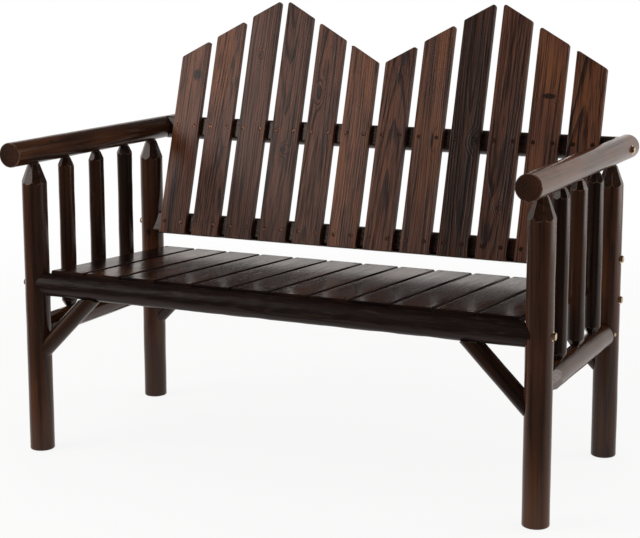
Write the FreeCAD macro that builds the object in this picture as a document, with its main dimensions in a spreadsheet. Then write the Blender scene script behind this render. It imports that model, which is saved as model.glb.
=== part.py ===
import FreeCAD, Part
import math
import os
import Sketcher
from collections import namedtuple

# Rustic two-seat log bench. Round logs are coped and tenoned together, and carry a slatted seat
# and a slatted back whose tops rise to two peaks. X runs along the bench, the sitter faces -Y, and
# Z is up. While the pieces are made, Y is measured from the plane of the front legs' centre lines.
# The last placement moves every piece so that the origin is under the middle of the bench's box.

# Counts
SEAT_SLATS = 12
BACK_SLATS = 12
SLATS_PER_PEAK = 6
SPINDLES = 3
LEG_FACETS = 8
THIN_LOG_FACETS = 7
BOLT_SIDES = 6

# Angles in degrees
ANGLES = {
    "back_recline": 17.2,
    "peak_slope": 29.8,
    "pin_turn": 31.0,
    "pin_slant": 15.0,
    "countersink": 90.0,
}

# Lengths in millimetres
SIZES = {
    # Legs, upright logs with a whittled top
    "leg_spacing": 1200.0,
    "leg_depth_spacing": 505.0,
    "leg_radius": 29.0,
    "leg_foot_rounding": 4.0,
    "leg_taper": 49.0,
    "leg_tenon_radius": 12.0,
    "leg_tenon_length": 30.0,
    # Arms, logs that lie on the legs
    "arm_radius": 28.5,
    "arm_axis_height": 699.5,
    "arm_front_overhang": 90.0,
    "arm_rear_overhang": 139.0,
    "arm_end_bevel": 2.5,
    # Spindles under each arm, evenly spaced between the legs
    "spindle_radius": 19.0,
    "spindle_top_taper": 23.0,
    "spindle_foot_taper": 17.0,
    "spindle_tenon_radius": 9.5,
    "spindle_top_tenon": 24.0,
    "spindle_foot_tenon": 18.0,
    # Side rails from front leg to rear leg
    "side_rail_radius": 27.0,
    "side_rail_height": 289.0,
    "side_rail_front_taper": 58.0,
    "side_rail_rear_taper": 12.0,
    "side_rail_tenon_radius": 17.0,
    "side_rail_tenon_length": 24.0,
    # Seat rails, cut down to a bed for the slats, whose tops lie this far over the rails' centre lines
    "front_rail_radius": 30.0,
    "rear_rail_radius": 29.0,
    "seat_over_rail": 34.0,
    # Seat slats, which fall towards the back
    "seat_front_height": 428.0,
    "seat_rear_height": 401.5,
    "seat_shoulder_set": 3.0,
    "seat_rear_inset": 8.0,
    "seat_slat_pitch": 93.6,
    "seat_slat_width": 88.4,
    "seat_slat_thickness": 15.0,
    "seat_slat_side_rounding": 5.0,
    "seat_slat_end_rounding": 1.5,
    "seat_screw_spread": 30.0,
    "seat_screw_inset": 15.0,
    # Back rails, logs with a flat for the slats, the lower one a little over the seat's rear end
    "back_rail_radius": 29.0,
    "back_rail_flat_depth": 10.0,
    "back_rail_over_seat": 59.5,
    # Back slats
    "back_slat_pitch": 94.7,
    "back_slat_width": 75.0,
    "back_slat_thickness": 14.0,
    "back_slat_tail": 30.0,
    "back_outer_length": 453.0,
    "back_corner_rounding": 6.0,
    "back_edge_rounding": 1.5,
    "back_screw_spread": 23.0,
    # Braces between legs and seat rails
    "brace_radius": 20.0,
    "brace_reach": 170.0,
    "dowel_radius": 6.0,
    "dowel_half_length": 22.0,
    # Bolts through the legs and arms into the ends of the cross rails
    "bolt_radius": 4.0,
    "bolt_length": 110.0,
    "bolt_tip": 4.0,
    "bolt_head_radius": 8.0,
    "bolt_head_height": 5.5,
    "bolt_head_bevel": 1.0,
    "washer_radius": 10.5,
    "washer_thickness": 1.6,
    "spot_face_radius": 11.5,
    # Screws of the slats
    "screw_radius": 2.25,
    "screw_length": 26.0,
    "screw_tip": 5.0,
    "screw_head_radius": 4.3,
    "screw_slot_width": 1.0,
    "screw_slot_length": 5.0,
    "screw_slot_depth": 1.4,
    # Pins that hold the side rails' tenons in the legs
    "pin_length": 36.0,
    "pin_head_depth": 0.6,
    # Fits and clearances
    "cope_gap": 0.3,
    "tenon_gap": 0.2,
    "hole_gap": 0.2,
    "facet_relief": 1.0,
    "tenon_shoulder": 1.5,
    "cope_tip": 3.0,
    "overrun": 60.0,
    "mortise_overrun": 20.0,
}

doc = FreeCAD.newDocument("LogBench")
vector = FreeCAD.Vector
rotation = FreeCAD.Rotation
X_AXIS = vector(1, 0, 0)
Y_AXIS = vector(0, 1, 0)
Z_AXIS = vector(0, 0, 1)

# The sheet that drives the model
sheet = doc.addObject("Spreadsheet::Sheet", "Sizes")
for row, (word, value) in enumerate({**SIZES, **ANGLES}.items(), start=1):
    sheet.set(f"A{row}", word)
    sheet.set(f"B{row}", str(value))
    sheet.setAlias(f"B{row}", word)
doc.recompute()


def size(word):
    """A driving value, read from the sheet."""
    return float(sheet.get(word))


def cell(text):
    """An expression in which each word of the sheet stands for its cell."""
    words = []
    for token in text.split():
        bare = token.strip("()")
        known = bare in SIZES or bare in ANGLES
        words.append(token.replace(bare, f"Sizes.{bare}") if known else token)
    return " ".join(words)


# Places worked out from the sizes
half_spacing = size("leg_spacing") / 2
leg_planes = {"front": 0.0, "rear": size("leg_depth_spacing")}
leg_top = size("arm_axis_height") - size("arm_radius")
recline = math.radians(size("back_recline"))
back_up = vector(0, math.sin(recline), math.cos(recline))
back_rearward = vector(0, math.cos(recline), -math.sin(recline))
back_turn = rotation(X_AXIS, -size("back_recline"))
rail_behind_face = size("back_slat_thickness") + size("back_rail_radius") - size("back_rail_flat_depth")
lower_back_height = size("seat_rear_height") + size("back_rail_over_seat")
lower_back_axis = vector(0, size("leg_depth_spacing"), lower_back_height)
back_foot = lower_back_axis - back_up * size("back_slat_tail") - back_rearward * rail_behind_face
upper_back_climb = size("arm_axis_height") - back_foot.z
upper_screw_reach = (upper_back_climb + rail_behind_face * math.sin(recline)) / math.cos(recline)
upper_back_axis = back_foot + back_up * upper_screw_reach + back_rearward * rail_behind_face
peak_rise = math.tan(math.radians(size("peak_slope")))
back_slat_gap = size("back_slat_pitch") - size("back_slat_width")
seat_front = -size("seat_shoulder_set")
seat_rear = size("leg_depth_spacing") - size("seat_rear_inset")
seat_fall = size("seat_front_height") - size("seat_rear_height")
seat_length = math.hypot(seat_rear - seat_front, seat_fall)
seat_turn = rotation(X_AXIS, -math.degrees(math.atan2(seat_fall, seat_rear - seat_front)))
seat_corner = vector(0, seat_front, size("seat_front_height"))
rail_heights = {
    "front": size("seat_front_height") - size("seat_over_rail"),
    "rear": size("seat_rear_height") - size("seat_over_rail"),
}
rail_radii = {"front": "front_rail_radius", "rear": "rear_rail_radius"}


def back_top_reach():
    """How far the tallest slat's rounded corner reaches up the back."""
    middle = size("back_slat_pitch") * SLATS_PER_PEAK / 2 - back_slat_gap / 2
    slope_cosine = math.cos(math.radians(size("peak_slope")))
    lost = size("back_corner_rounding") * (peak_rise + 1 / slope_cosine - 1)
    return size("back_outer_length") + middle * peak_rise - lost


def bench_middle():
    """Y of the middle of the bench's box, from the arms' front ends to the rear edge of the peaks."""
    ease = size("back_edge_rounding")
    top = back_foot + back_up * (back_top_reach() - ease)
    rear = top + back_rearward * (size("back_slat_thickness") - ease)
    return (rear.y + ease - size("arm_front_overhang")) / 2


to_origin = vector(0, -bench_middle(), 0)


# Helpers
def bound(item, **expressions):
    """Binds an object's sizes to the sheet."""
    for name, text in expressions.items():
        item.setExpression(name, cell(text))
    return item


def cylinder(name, radius, height, base, turn=None):
    """A round bar from base, along Z unless it is turned."""
    bar = bound(doc.addObject("Part::Cylinder", name), Radius=radius, Height=height)
    bar.Placement = FreeCAD.Placement(base, turn or rotation())
    return bar


def along(direction):
    """The turn that lays the Z axis along a direction."""
    return rotation(Z_AXIS, direction)


def joined(name, pieces):
    """One shape from several that meet."""
    union = doc.addObject("Part::MultiFuse", name)
    union.Shapes = pieces
    return union


def cut(name, base, tools):
    """A shape with others taken away."""
    tool = joined(f"{name}_tools", tools) if len(tools) > 1 else tools[0]
    result = doc.addObject("Part::Cut", name)
    result.Base = base
    result.Tool = tool
    return result


finished = []


def finish(item, name):
    """Names a finished sub-part and moves it to the bench's own frame."""
    item.Label = name
    doc.recompute()
    item.Placement = FreeCAD.Placement(to_origin, rotation()) * item.Placement
    finished.append(item)
    return item


def copies(name, template, placements):
    """One node of like solids, each a copy of a template."""
    group = doc.addObject("Part::Feature", name)
    doc.recompute()
    shapes = []
    for placement in placements:
        shape = template.Shape.copy()
        shape.Placement = placement * shape.Placement
        shapes.append(shape)
    group.Shape = Part.Compound(shapes)
    return group


LogEnd = namedtuple("LogEnd", "taper tenon_radius tenon_length")
LEG_TOP = LogEnd("leg_taper", "leg_tenon_radius", "leg_tenon_length")
SPINDLE_FOOT = LogEnd("spindle_foot_taper", "spindle_tenon_radius", "spindle_foot_tenon")
SPINDLE_TOP = LogEnd("spindle_top_taper", "spindle_tenon_radius", "spindle_top_tenon")
RAIL_FRONT = LogEnd("side_rail_front_taper", "side_rail_tenon_radius", "side_rail_tenon_length")
RAIL_REAR = LogEnd("side_rail_rear_taper", "side_rail_tenon_radius", "side_rail_tenon_length")


def facet_ring(name, facets, apothem, height):
    """A polygon across a log, given by the distance from its middle to its sides."""
    ring = doc.addObject("Part::RegularPolygon", name)
    ring.Polygon = facets
    bound(ring, Circumradius=f"( {apothem} ) / cos(180 deg / {facets})")
    ring.setExpression("Placement.Base.z", cell(height))
    return ring


def tenon(name, end, base):
    """A log end's round tenon, which starts inside the taper."""
    peg = cylinder(name, end.tenon_radius, f"{end.tenon_length} + {end.taper}", vector())
    peg.setExpression("Placement.Base.z", cell(base))
    return peg


def whittled_log(name, facets, radius, length, foot, top):
    """A log along Z whose ends are cut to flat facets and then to a round tenon.

    foot and top hold the words for an end's sizes. A log without a foot stands on a plain end.
    """
    wide = f"{radius} + facet_relief"
    top_ring = facet_ring(f"{name}_top_ring", facets, f"{top.tenon_radius} + tenon_shoulder", length)
    rings = [facet_ring(f"{name}_top_start", facets, wide, f"{length} - {top.taper}"), top_ring]
    core = cylinder(f"{name}_core", radius, length, vector())
    pieces = [tenon(f"{name}_top_tenon", top, f"{length} - {top.taper}")]
    if foot:
        foot_ring = facet_ring(f"{name}_foot_ring", facets, f"{foot.tenon_radius} + tenon_shoulder", "0")
        rings = [foot_ring, facet_ring(f"{name}_foot_start", facets, wide, foot.taper)] + rings
        pieces.append(tenon(f"{name}_foot_tenon", foot, f"{foot.tenon_length} * -1"))
    else:
        rings.insert(0, facet_ring(f"{name}_foot_ring", facets, wide, "0"))
        core = rounded_foot(f"{name}_foot", core)
    envelope = doc.addObject("Part::Loft", f"{name}_facets")
    envelope.Sections = rings
    envelope.Solid = True
    envelope.Ruled = True
    shaft = doc.addObject("Part::Common", f"{name}_shaft")
    shaft.Base = core
    shaft.Tool = envelope
    return joined(f"{name}_log", [shaft] + pieces)


def mortise(name, end, mouth, way):
    """The round hole for a log end's tenon, from a little outside its mouth."""
    depth = f"{end.tenon_length} + tenon_gap + mortise_overrun"
    start = mouth - way * size("mortise_overrun")
    return cylinder(name, f"{end.tenon_radius} + tenon_gap", depth, start, along(way))


def rounded_foot(name, core):
    """A log whose lower edge is eased where it stands."""
    doc.recompute()
    rounding = doc.addObject("Part::Fillet", name)
    rounding.Base = core
    ease = size("leg_foot_rounding")
    numbered = enumerate(core.Shape.Edges, start=1)
    rounding.Edges = [(number, ease, ease) for number, edge in numbered if edge.BoundBox.ZMax < ease]
    return rounding


# Bores shared by pieces that a bolt, dowel or pin passes through
def bolt_bore(name, end, side):
    """The hole for a bolt, from outside the joint at end towards the middle of the bench."""
    start = end + X_AXIS * side * size("overrun")
    return cylinder(name, "bolt_radius + hole_gap", "overrun + bolt_length", start, along(X_AXIS * -side))


def bolt_seat(radius_word):
    """How far from a log's centre line its spot face lies, so that the whole washer bears."""
    return math.sqrt(size(radius_word) ** 2 - size("spot_face_radius") ** 2)


def spot_face(name, end, side, radius_word):
    """The flat under a bolt's washer."""
    start = end + X_AXIS * side * bolt_seat(radius_word)
    return cylinder(name, "spot_face_radius", "overrun", start, along(X_AXIS * side))


def bolt_place(end, side, radius_word):
    """Where a bolt's washer meets its spot face, with Z pointing outwards."""
    start = end + X_AXIS * side * bolt_seat(radius_word)
    return FreeCAD.Placement(start, along(X_AXIS * side))


def brace_line(row, side):
    """The ends of a brace's centre line, on the leg's and on the rail's centre lines."""
    height = rail_heights[row]
    low = vector(side * half_spacing, leg_planes[row], height - size("brace_reach"))
    high = vector(side * (half_spacing - size("brace_reach")), leg_planes[row], height)
    return low, high


def dowel_ends(row, side):
    """Where a brace's centre line meets the surfaces of its leg and of its rail."""
    low, high = brace_line(row, side)
    way = (high - low).normalize()
    at_leg = low + way * (size("leg_radius") * math.sqrt(2))
    at_rail = high - way * (size(rail_radii[row]) * math.sqrt(2))
    return (at_leg, way), (at_rail, way)


def dowel_bore(name, middle, way):
    """The hole for a brace's dowel."""
    start = middle - way * (size("dowel_half_length") + size("hole_gap"))
    height = "( dowel_half_length + hole_gap ) * 2"
    return cylinder(name, "dowel_radius + hole_gap", height, start, along(way))


def pin_start(row, side):
    """Where the middle of a side rail's pin's head lies in its leg, and the way the pin points."""
    turn = math.radians(size("pin_turn"))
    slant = math.radians(size("pin_slant"))
    to_rail = 1 if row == "front" else -1
    outward = vector(side * math.cos(turn), to_rail * math.sin(turn), 0)
    way = vector(-side * math.cos(slant), -to_rail * math.sin(slant), 0)
    axis_point = vector(side * half_spacing, leg_planes[row], size("side_rail_height"))
    return axis_point + outward * size("leg_radius") + way * size("pin_head_depth"), way


def pin_bore(name, row, side):
    """The hole for a side rail's pin, through the leg and into the tenon."""
    start, way = pin_start(row, side)
    return cylinder(name, "screw_radius + hole_gap", "pin_length + hole_gap", start, along(way))


def pin_sinks(name, row, side):
    """The countersink for a pin's head and the clear way to it."""
    start, way = pin_start(row, side)
    sink = doc.addObject("Part::Cone", f"{name}_sink")
    bound(sink, Radius1="screw_head_radius + hole_gap", Radius2="screw_radius + hole_gap",
          Height="screw_head_radius - screw_radius")
    sink.Placement = FreeCAD.Placement(start, along(way))
    clear = cylinder(f"{name}_clear", "screw_head_radius + hole_gap", "leg_radius", start, along(way * -1))
    return [sink, clear]


# Fasteners' own shapes, made once at the origin and then copied
def make_bolt():
    """A hexagon-headed bolt whose shank points along -Z from under its head."""
    head = doc.addObject("Part::Prism", "bolt_head")
    head.Polygon = BOLT_SIDES
    bound(head, Circumradius="bolt_head_radius", Height="bolt_head_height")
    dome = doc.addObject("Part::Cone", "bolt_dome")
    bound(dome, Radius1="bolt_head_radius + bolt_head_height - bolt_head_bevel",
          Radius2="bolt_head_radius - bolt_head_bevel", Height="bolt_head_height")
    bevelled = doc.addObject("Part::Common", "bolt_head_bevelled")
    bevelled.Base = head
    bevelled.Tool = dome
    shank = cylinder("bolt_shank", "bolt_radius", "bolt_length - bolt_tip", vector())
    shank.setExpression("Placement.Base.z", cell("bolt_tip - bolt_length"))
    tip = doc.addObject("Part::Cone", "bolt_tip")
    bound(tip, Radius1="bolt_radius / 2", Radius2="bolt_radius", Height="bolt_tip")
    tip.setExpression("Placement.Base.z", cell("bolt_length * -1"))
    return joined("bolt", [bevelled, shank, tip])


def make_washer():
    """A flat washer that lies on the XY plane."""
    disc = cylinder("washer_disc", "washer_radius", "washer_thickness", vector())
    hole = cylinder("washer_hole", "bolt_radius + hole_gap", "washer_thickness + overrun", vector())
    return cut("washer", disc, [hole])


def make_screw(name, length):
    """A countersunk screw with a crossed recess, its head flush with Z = 0, that points along +Z."""
    head = doc.addObject("Part::Cone", f"{name}_head")
    bound(head, Radius1="screw_head_radius", Radius2="screw_radius",
          Height="screw_head_radius - screw_radius")
    shank = cylinder(f"{name}_shank", "screw_radius", f"{length} - screw_tip", vector())
    tip = doc.addObject("Part::Cone", f"{name}_point")
    bound(tip, Radius1="screw_radius", Radius2="screw_radius / 5", Height="screw_tip")
    tip.setExpression("Placement.Base.z", cell(f"{length} - screw_tip"))
    slots = []
    for turn in (0, 90):
        slot = doc.addObject("Part::Box", f"{name}_slot")
        bound(slot, Length="screw_slot_length", Width="screw_slot_width", Height="screw_slot_depth")
        corner = vector(-size("screw_slot_length") / 2, -size("screw_slot_width") / 2, 0)
        around = rotation(Z_AXIS, turn)
        slot.Placement = FreeCAD.Placement(around.multVec(corner), around)
        slots.append(slot)
    return cut(name, joined(f"{name}_solid", [head, shank, tip]), slots)


# Where the screws go
def spindle_place(number):
    """Y of a spindle's centre line, counted from zero at the front."""
    return size("leg_depth_spacing") * (number + 1) / (SPINDLES + 1)


def back_slat_middle(number):
    """X of a back slat's middle, counted from one at the left."""
    return (number - (BACK_SLATS + 1) / 2) * size("back_slat_pitch")


def seat_slat_middle(number):
    """X of a seat slat's middle, counted from one at the left."""
    return (number - (SEAT_SLATS + 1) / 2) * size("seat_slat_pitch")


def back_screws(reach):
    """Placements of the back slats' screws along one rail, at a reach up the slats."""
    spots = []
    for number in range(1, BACK_SLATS + 1):
        for side in (-1, 1):
            x = back_slat_middle(number) + side * size("back_screw_spread")
            spots.append(FreeCAD.Placement(back_foot + X_AXIS * x + back_up * reach, along(back_rearward)))
    return spots


def seat_screws(distance):
    """Placements of the seat slats' screws along one rail, at a distance from the slats' front ends."""
    spots = []
    for number in range(1, SEAT_SLATS + 1):
        for side in (-1, 1):
            x = seat_slat_middle(number) + side * size("seat_screw_spread")
            base = seat_corner + X_AXIS * x + seat_turn.multVec(Y_AXIS * distance)
            spots.append(FreeCAD.Placement(base, seat_turn * along(Z_AXIS * -1)))
    return spots


seat_screw_rows = {"front": size("seat_screw_inset"), "rear": seat_length - size("seat_screw_inset")}
back_screw_rows = {"lower": size("back_slat_tail"), "upper": upper_screw_reach}
screw_hole = cylinder("screw_hole", "screw_radius + hole_gap", "screw_length + hole_gap", vector())


# Legs
def make_leg(row, side, name):
    """An upright log with the holes for its rails, brace, bolts and pin."""
    middle = vector(side * half_spacing, leg_planes[row], 0)
    log = whittled_log(name, LEG_FACETS, "leg_radius", "arm_axis_height - arm_radius", None, LEG_TOP)
    log.Placement = FreeCAD.Placement(middle, rotation())
    to_rail = Y_AXIS if row == "front" else Y_AXIS * -1
    mouth = middle + to_rail * size("leg_radius") + Z_AXIS * size("side_rail_height")
    tools = [mortise(f"{name}_mortise", RAIL_FRONT if row == "front" else RAIL_REAR, mouth, to_rail * -1)]
    heights = [rail_heights[row]]
    if row == "rear":
        heights.append(lower_back_height)
    for height in heights:
        end = middle + Z_AXIS * height
        tools.append(bolt_bore(f"{name}_bolt_bore", end, side))
        tools.append(spot_face(f"{name}_spot_face", end, side, "leg_radius"))
    at_leg, at_rail = dowel_ends(row, side)
    tools.append(dowel_bore(f"{name}_dowel_bore", *at_leg))
    tools.append(pin_bore(f"{name}_pin_bore", row, side))
    tools += pin_sinks(f"{name}_pin", row, side)
    finish(cut(name, log, tools), name)


# Arms
def make_arm(side, name):
    """A log that lies on both legs and the spindles, with flat bevelled ends."""
    front = vector(side * half_spacing, -size("arm_front_overhang"), size("arm_axis_height"))
    length = "arm_front_overhang + leg_depth_spacing + arm_rear_overhang"
    bar = cylinder(f"{name}_bar", "arm_radius", length, front, along(Y_AXIS))
    doc.recompute()
    bevelled = doc.addObject("Part::Chamfer", f"{name}_bevelled")
    bevelled.Base = bar
    bevel = size("arm_end_bevel")
    numbered = enumerate(bar.Shape.Edges, start=1)
    bevelled.Edges = [(number, bevel, bevel) for number, edge in numbered if edge.BoundBox.YLength < bevel]
    tools = []
    for y in leg_planes.values():
        mouth = vector(side * half_spacing, y, leg_top)
        tools.append(mortise(f"{name}_leg_mortise", LEG_TOP, mouth, Z_AXIS))
    for number in range(SPINDLES):
        mouth = vector(side * half_spacing, spindle_place(number), leg_top)
        tools.append(mortise(f"{name}_spindle_mortise", SPINDLE_TOP, mouth, Z_AXIS))
    end = upper_back_axis + X_AXIS * side * half_spacing
    tools.append(bolt_bore(f"{name}_bolt_bore", end, side))
    tools.append(spot_face(f"{name}_spot_face", end, side, "arm_radius"))
    finish(cut(name, bevelled, tools), name)


# Spindles
def make_spindle(side, number, name):
    """A thin log between a side rail and an arm, whittled at both ends."""
    crown = size("side_rail_height") + size("side_rail_radius")
    length = "arm_axis_height - arm_radius - side_rail_height - side_rail_radius"
    log = whittled_log(name, THIN_LOG_FACETS, "spindle_radius", length, SPINDLE_FOOT, SPINDLE_TOP)
    log.Placement = FreeCAD.Placement(vector(side * half_spacing, spindle_place(number), crown), rotation())
    finish(log, name)


# Side rails
def make_side_rail(side, name):
    """A log from front leg to rear leg that carries the spindles, with a whittled tenon at each end."""
    length = "leg_depth_spacing - 2 * leg_radius"
    log = whittled_log(name, THIN_LOG_FACETS, "side_rail_radius", length, RAIL_FRONT, RAIL_REAR)
    start = vector(side * half_spacing, size("leg_radius"), size("side_rail_height"))
    log.Placement = FreeCAD.Placement(start, along(Y_AXIS))
    tools = []
    crown = size("side_rail_height") + size("side_rail_radius")
    for number in range(SPINDLES):
        mouth = vector(side * half_spacing, spindle_place(number), crown)
        tools.append(mortise(f"{name}_spindle_mortise", SPINDLE_FOOT, mouth, Z_AXIS * -1))
    for row in leg_planes:
        tools.append(pin_bore(f"{name}_pin_bore", row, side))
    finish(cut(name, log, tools), name)


# Cross rails
def cross_bar(name, radius_word, axis):
    """A log across the bench, from leg to leg or from arm to arm, along a given centre line."""
    start = axis - X_AXIS * (half_spacing - size("cope_tip"))
    return cylinder(f"{name}_bar", radius_word, "leg_spacing - 2 * cope_tip", start, along(X_AXIS))


def copes(name, radius_word, direction, axis):
    """The hollows that fit a cross log's ends around the logs that it meets."""
    tools = []
    for side in (-1, 1):
        middle = axis + X_AXIS * side * half_spacing
        start = middle - direction * size("overrun")
        hollow = cylinder(f"{name}_cope", f"{radius_word} + cope_gap", "overrun * 2", start, along(direction))
        tools.append(hollow)
    return tools


def make_seat_rail(row, name):
    """A log between two legs, cut down to a bed in the sloping underside of the seat slats."""
    axis = vector(0, leg_planes[row], rail_heights[row])
    bar = cross_bar(name, rail_radii[row], axis)
    bed = doc.addObject("Part::Box", f"{name}_bed")
    bound(bed, Length="leg_spacing", Width="leg_depth_spacing + overrun", Height="overrun")
    corner = vector(-half_spacing, -size("cope_gap"), -size("seat_slat_thickness"))
    bed.Placement = FreeCAD.Placement(seat_corner + seat_turn.multVec(corner), seat_turn)
    tools = [bed] + copes(name, "leg_radius", Z_AXIS, axis)
    for side in (-1, 1):
        tools.append(bolt_bore(f"{name}_bolt_bore", axis + X_AXIS * side * half_spacing, side))
        at_leg, at_rail = dowel_ends(row, side)
        tools.append(dowel_bore(f"{name}_dowel_bore", *at_rail))
    tools.append(copies(f"{name}_screw_holes", screw_hole, seat_screws(seat_screw_rows[row])))
    finish(cut(name, bar, tools), name)


def make_back_rail(level, name, axis, post_radius, post_direction):
    """A log behind the back slats, planed flat where they lie on it."""
    bar = cross_bar(name, "back_rail_radius", axis)
    flat = doc.addObject("Part::Box", f"{name}_flat")
    bound(flat, Length="leg_spacing", Width="overrun", Height="overrun * 2")
    reach = back_screw_rows[level]
    corner = vector(-half_spacing, size("back_slat_thickness") - size("overrun"), reach - size("overrun"))
    flat.Placement = FreeCAD.Placement(back_foot + back_turn.multVec(corner), back_turn)
    tools = [flat] + copes(name, post_radius, post_direction, axis)
    for side in (-1, 1):
        tools.append(bolt_bore(f"{name}_bolt_bore", axis + X_AXIS * side * half_spacing, side))
    tools.append(copies(f"{name}_screw_holes", screw_hole, back_screws(reach)))
    finish(cut(name, bar, tools), name)


# Slats
def origin_plane(body, role):
    """One of a body's own base planes."""
    return next(item for item in body.Origin.OriginFeatures if item.Role == role)


def sketch_on(body, name, role):
    """An empty sketch on one of a body's base planes."""
    sketch = body.newObject("Sketcher::SketchObject", name)
    sketch.AttachmentSupport = [(origin_plane(body, role), "")]
    sketch.MapMode = "FlatFace"
    return sketch


def drive(sketch, kind, first, second, value, text):
    """Sets the distance between a line's ends from the sheet."""
    line, start = first
    number = sketch.addConstraint(Sketcher.Constraint(kind, line, start, line, second, value))
    sketch.setExpression(f"Constraints[{number}]", cell(text))


def board(body, role, width, thickness, left, right):
    """A board on a base plane, its foot level and each side as long as its (value, expression) says."""
    half = size(width) / 2
    corners = [vector(-half, 0), vector(half, 0), vector(half, right[0]), vector(-half, left[0])]
    outline = sketch_on(body, "Outline", role)
    for number in range(4):
        outline.addGeometry(Part.LineSegment(corners[number], corners[(number + 1) % 4]))
    for number in range(4):
        outline.addConstraint(Sketcher.Constraint("Coincident", number, 2, (number + 1) % 4, 1))
    outline.addConstraint(Sketcher.Constraint("Horizontal", 0))
    outline.addConstraint(Sketcher.Constraint("Vertical", 1))
    outline.addConstraint(Sketcher.Constraint("Vertical", 3))
    outline.addConstraint(Sketcher.Constraint("Symmetric", 0, 1, 0, 2, -1, 1))
    drive(outline, "DistanceX", (0, 1), 2, 2 * half, width)
    drive(outline, "DistanceY", (1, 1), 2, *right)
    drive(outline, "DistanceY", (3, 2), 1, *left)
    pad = body.newObject("PartDesign::Pad", "Board")
    pad.Profile = outline
    pad.Reversed = True
    pad.setExpression("Length", cell(thickness))
    return pad


def eased(body, base, name, radius, picked):
    """Rounds those edges of a feature that a test on their bounds picks."""
    doc.recompute()
    rounding = body.newObject("PartDesign::Fillet", name)
    numbered = enumerate(base.Shape.Edges, start=1)
    rounding.Base = (base, [f"Edge{number}" for number, edge in numbered if picked(edge.BoundBox)])
    rounding.setExpression("Radius", cell(radius))
    body.Tip = rounding
    return rounding


def countersunk(body, role, spread, distances):
    """Pairs of screw holes through a board, sunk for the heads on its face."""
    circles = sketch_on(body, "Screws", role)
    for side in (-1, 1):
        for distance in distances:
            middle = vector(side * size(spread), distance)
            circles.addGeometry(Part.Circle(middle, Z_AXIS, size("screw_radius")))
    doc.recompute()
    hole = body.newObject("PartDesign::Hole", "ScrewHoles")
    hole.Profile = circles
    doc.recompute()
    hole.ThreadType = "None"
    hole.DepthType = "ThroughAll"
    hole.setExpression("Diameter", cell("2 * ( screw_radius + hole_gap )"))
    hole.HoleCutType = "Countersink"
    hole.HoleCutCustomValues = True
    hole.setExpression("HoleCutDiameter", cell("2 * ( screw_head_radius + hole_gap )"))
    hole.setExpression("HoleCutCountersinkAngle", cell("countersink"))
    body.Tip = hole


def back_side_length(number, side):
    """How long one side of a back slat is, as a value and as an expression."""
    place = (number - 1) % SLATS_PER_PEAK + 0.5
    steps = f"( back_slat_pitch * {place} + {side} * back_slat_width / 2 )"
    reach = place * size("back_slat_pitch") + side * size("back_slat_width") / 2
    if place > SLATS_PER_PEAK / 2:
        steps = f"( back_slat_pitch * {SLATS_PER_PEAK} - {steps} )"
        reach = SLATS_PER_PEAK * size("back_slat_pitch") - reach
    text = f"back_outer_length + {steps} * tan( peak_slope * 1 deg )"
    return size("back_outer_length") + reach * peak_rise, text


def make_back_slat(number, name):
    """A board of the back, its top cut to the slope of its peak."""
    body = doc.addObject("PartDesign::Body", name)
    left = back_side_length(number, -1)
    right = back_side_length(number, 1)
    plank = board(body, "XZ_Plane", "back_slat_width", "back_slat_thickness", left, right)
    middle_height = size("back_outer_length") / 2
    ease = size("back_edge_rounding")
    corners = eased(body, plank, "TopCorners", "back_corner_rounding",
                    lambda box: box.YLength > ease and box.ZMin > middle_height)
    eased(body, corners, "Rims", "back_edge_rounding", lambda box: box.YLength < ease)
    countersunk(body, "XZ_Plane", "back_screw_spread", back_screw_rows.values())
    body.Placement = FreeCAD.Placement(back_foot + X_AXIS * back_slat_middle(number), back_turn)
    finish(body, name)


def make_seat_slat(number, name):
    """A board of the seat, with rounded upper edges."""
    body = doc.addObject("PartDesign::Body", name)
    run = "( leg_depth_spacing - seat_rear_inset + seat_shoulder_set )"
    fall = "( seat_front_height - seat_rear_height )"
    side = (seat_length, f"sqrt( {run} ^ 2 + {fall} ^ 2 )")
    plank = board(body, "XY_Plane", "seat_slat_width", "seat_slat_thickness", side, side)
    middle_depth = size("seat_slat_thickness") / 2
    end_ease = size("seat_slat_end_rounding")
    sides = eased(body, plank, "LongEdges", "seat_slat_side_rounding",
                  lambda box: box.YLength > seat_length / 2 and box.ZMin > -middle_depth)
    eased(body, sides, "EndEdges", "seat_slat_end_rounding",
          lambda box: box.YLength < end_ease and box.ZMin > -end_ease)
    countersunk(body, "XY_Plane", "seat_screw_spread", seat_screw_rows.values())
    body.Placement = FreeCAD.Placement(seat_corner + X_AXIS * seat_slat_middle(number), seat_turn)
    finish(body, name)


# Braces
def make_brace(row, side, name):
    """A short log at half a right angle between a leg and a seat rail, coped to both."""
    low, high = brace_line(row, side)
    way = (high - low).normalize()
    bar = cylinder(f"{name}_bar", "brace_radius", "brace_reach * sqrt(2)", low, along(way))
    post = cylinder(f"{name}_leg_cope", "leg_radius + cope_gap", "arm_axis_height",
                    vector(side * half_spacing, leg_planes[row], 0))
    start = vector(-half_spacing, leg_planes[row], rail_heights[row])
    cope = f"{rail_radii[row]} + cope_gap"
    beam = cylinder(f"{name}_rail_cope", cope, "leg_spacing", start, along(X_AXIS))
    at_leg, at_rail = dowel_ends(row, side)
    bores = [dowel_bore(f"{name}_leg_dowel_bore", *at_leg), dowel_bore(f"{name}_rail_dowel_bore", *at_rail)]
    finish(cut(name, bar, [post, beam] + bores), name)


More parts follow.
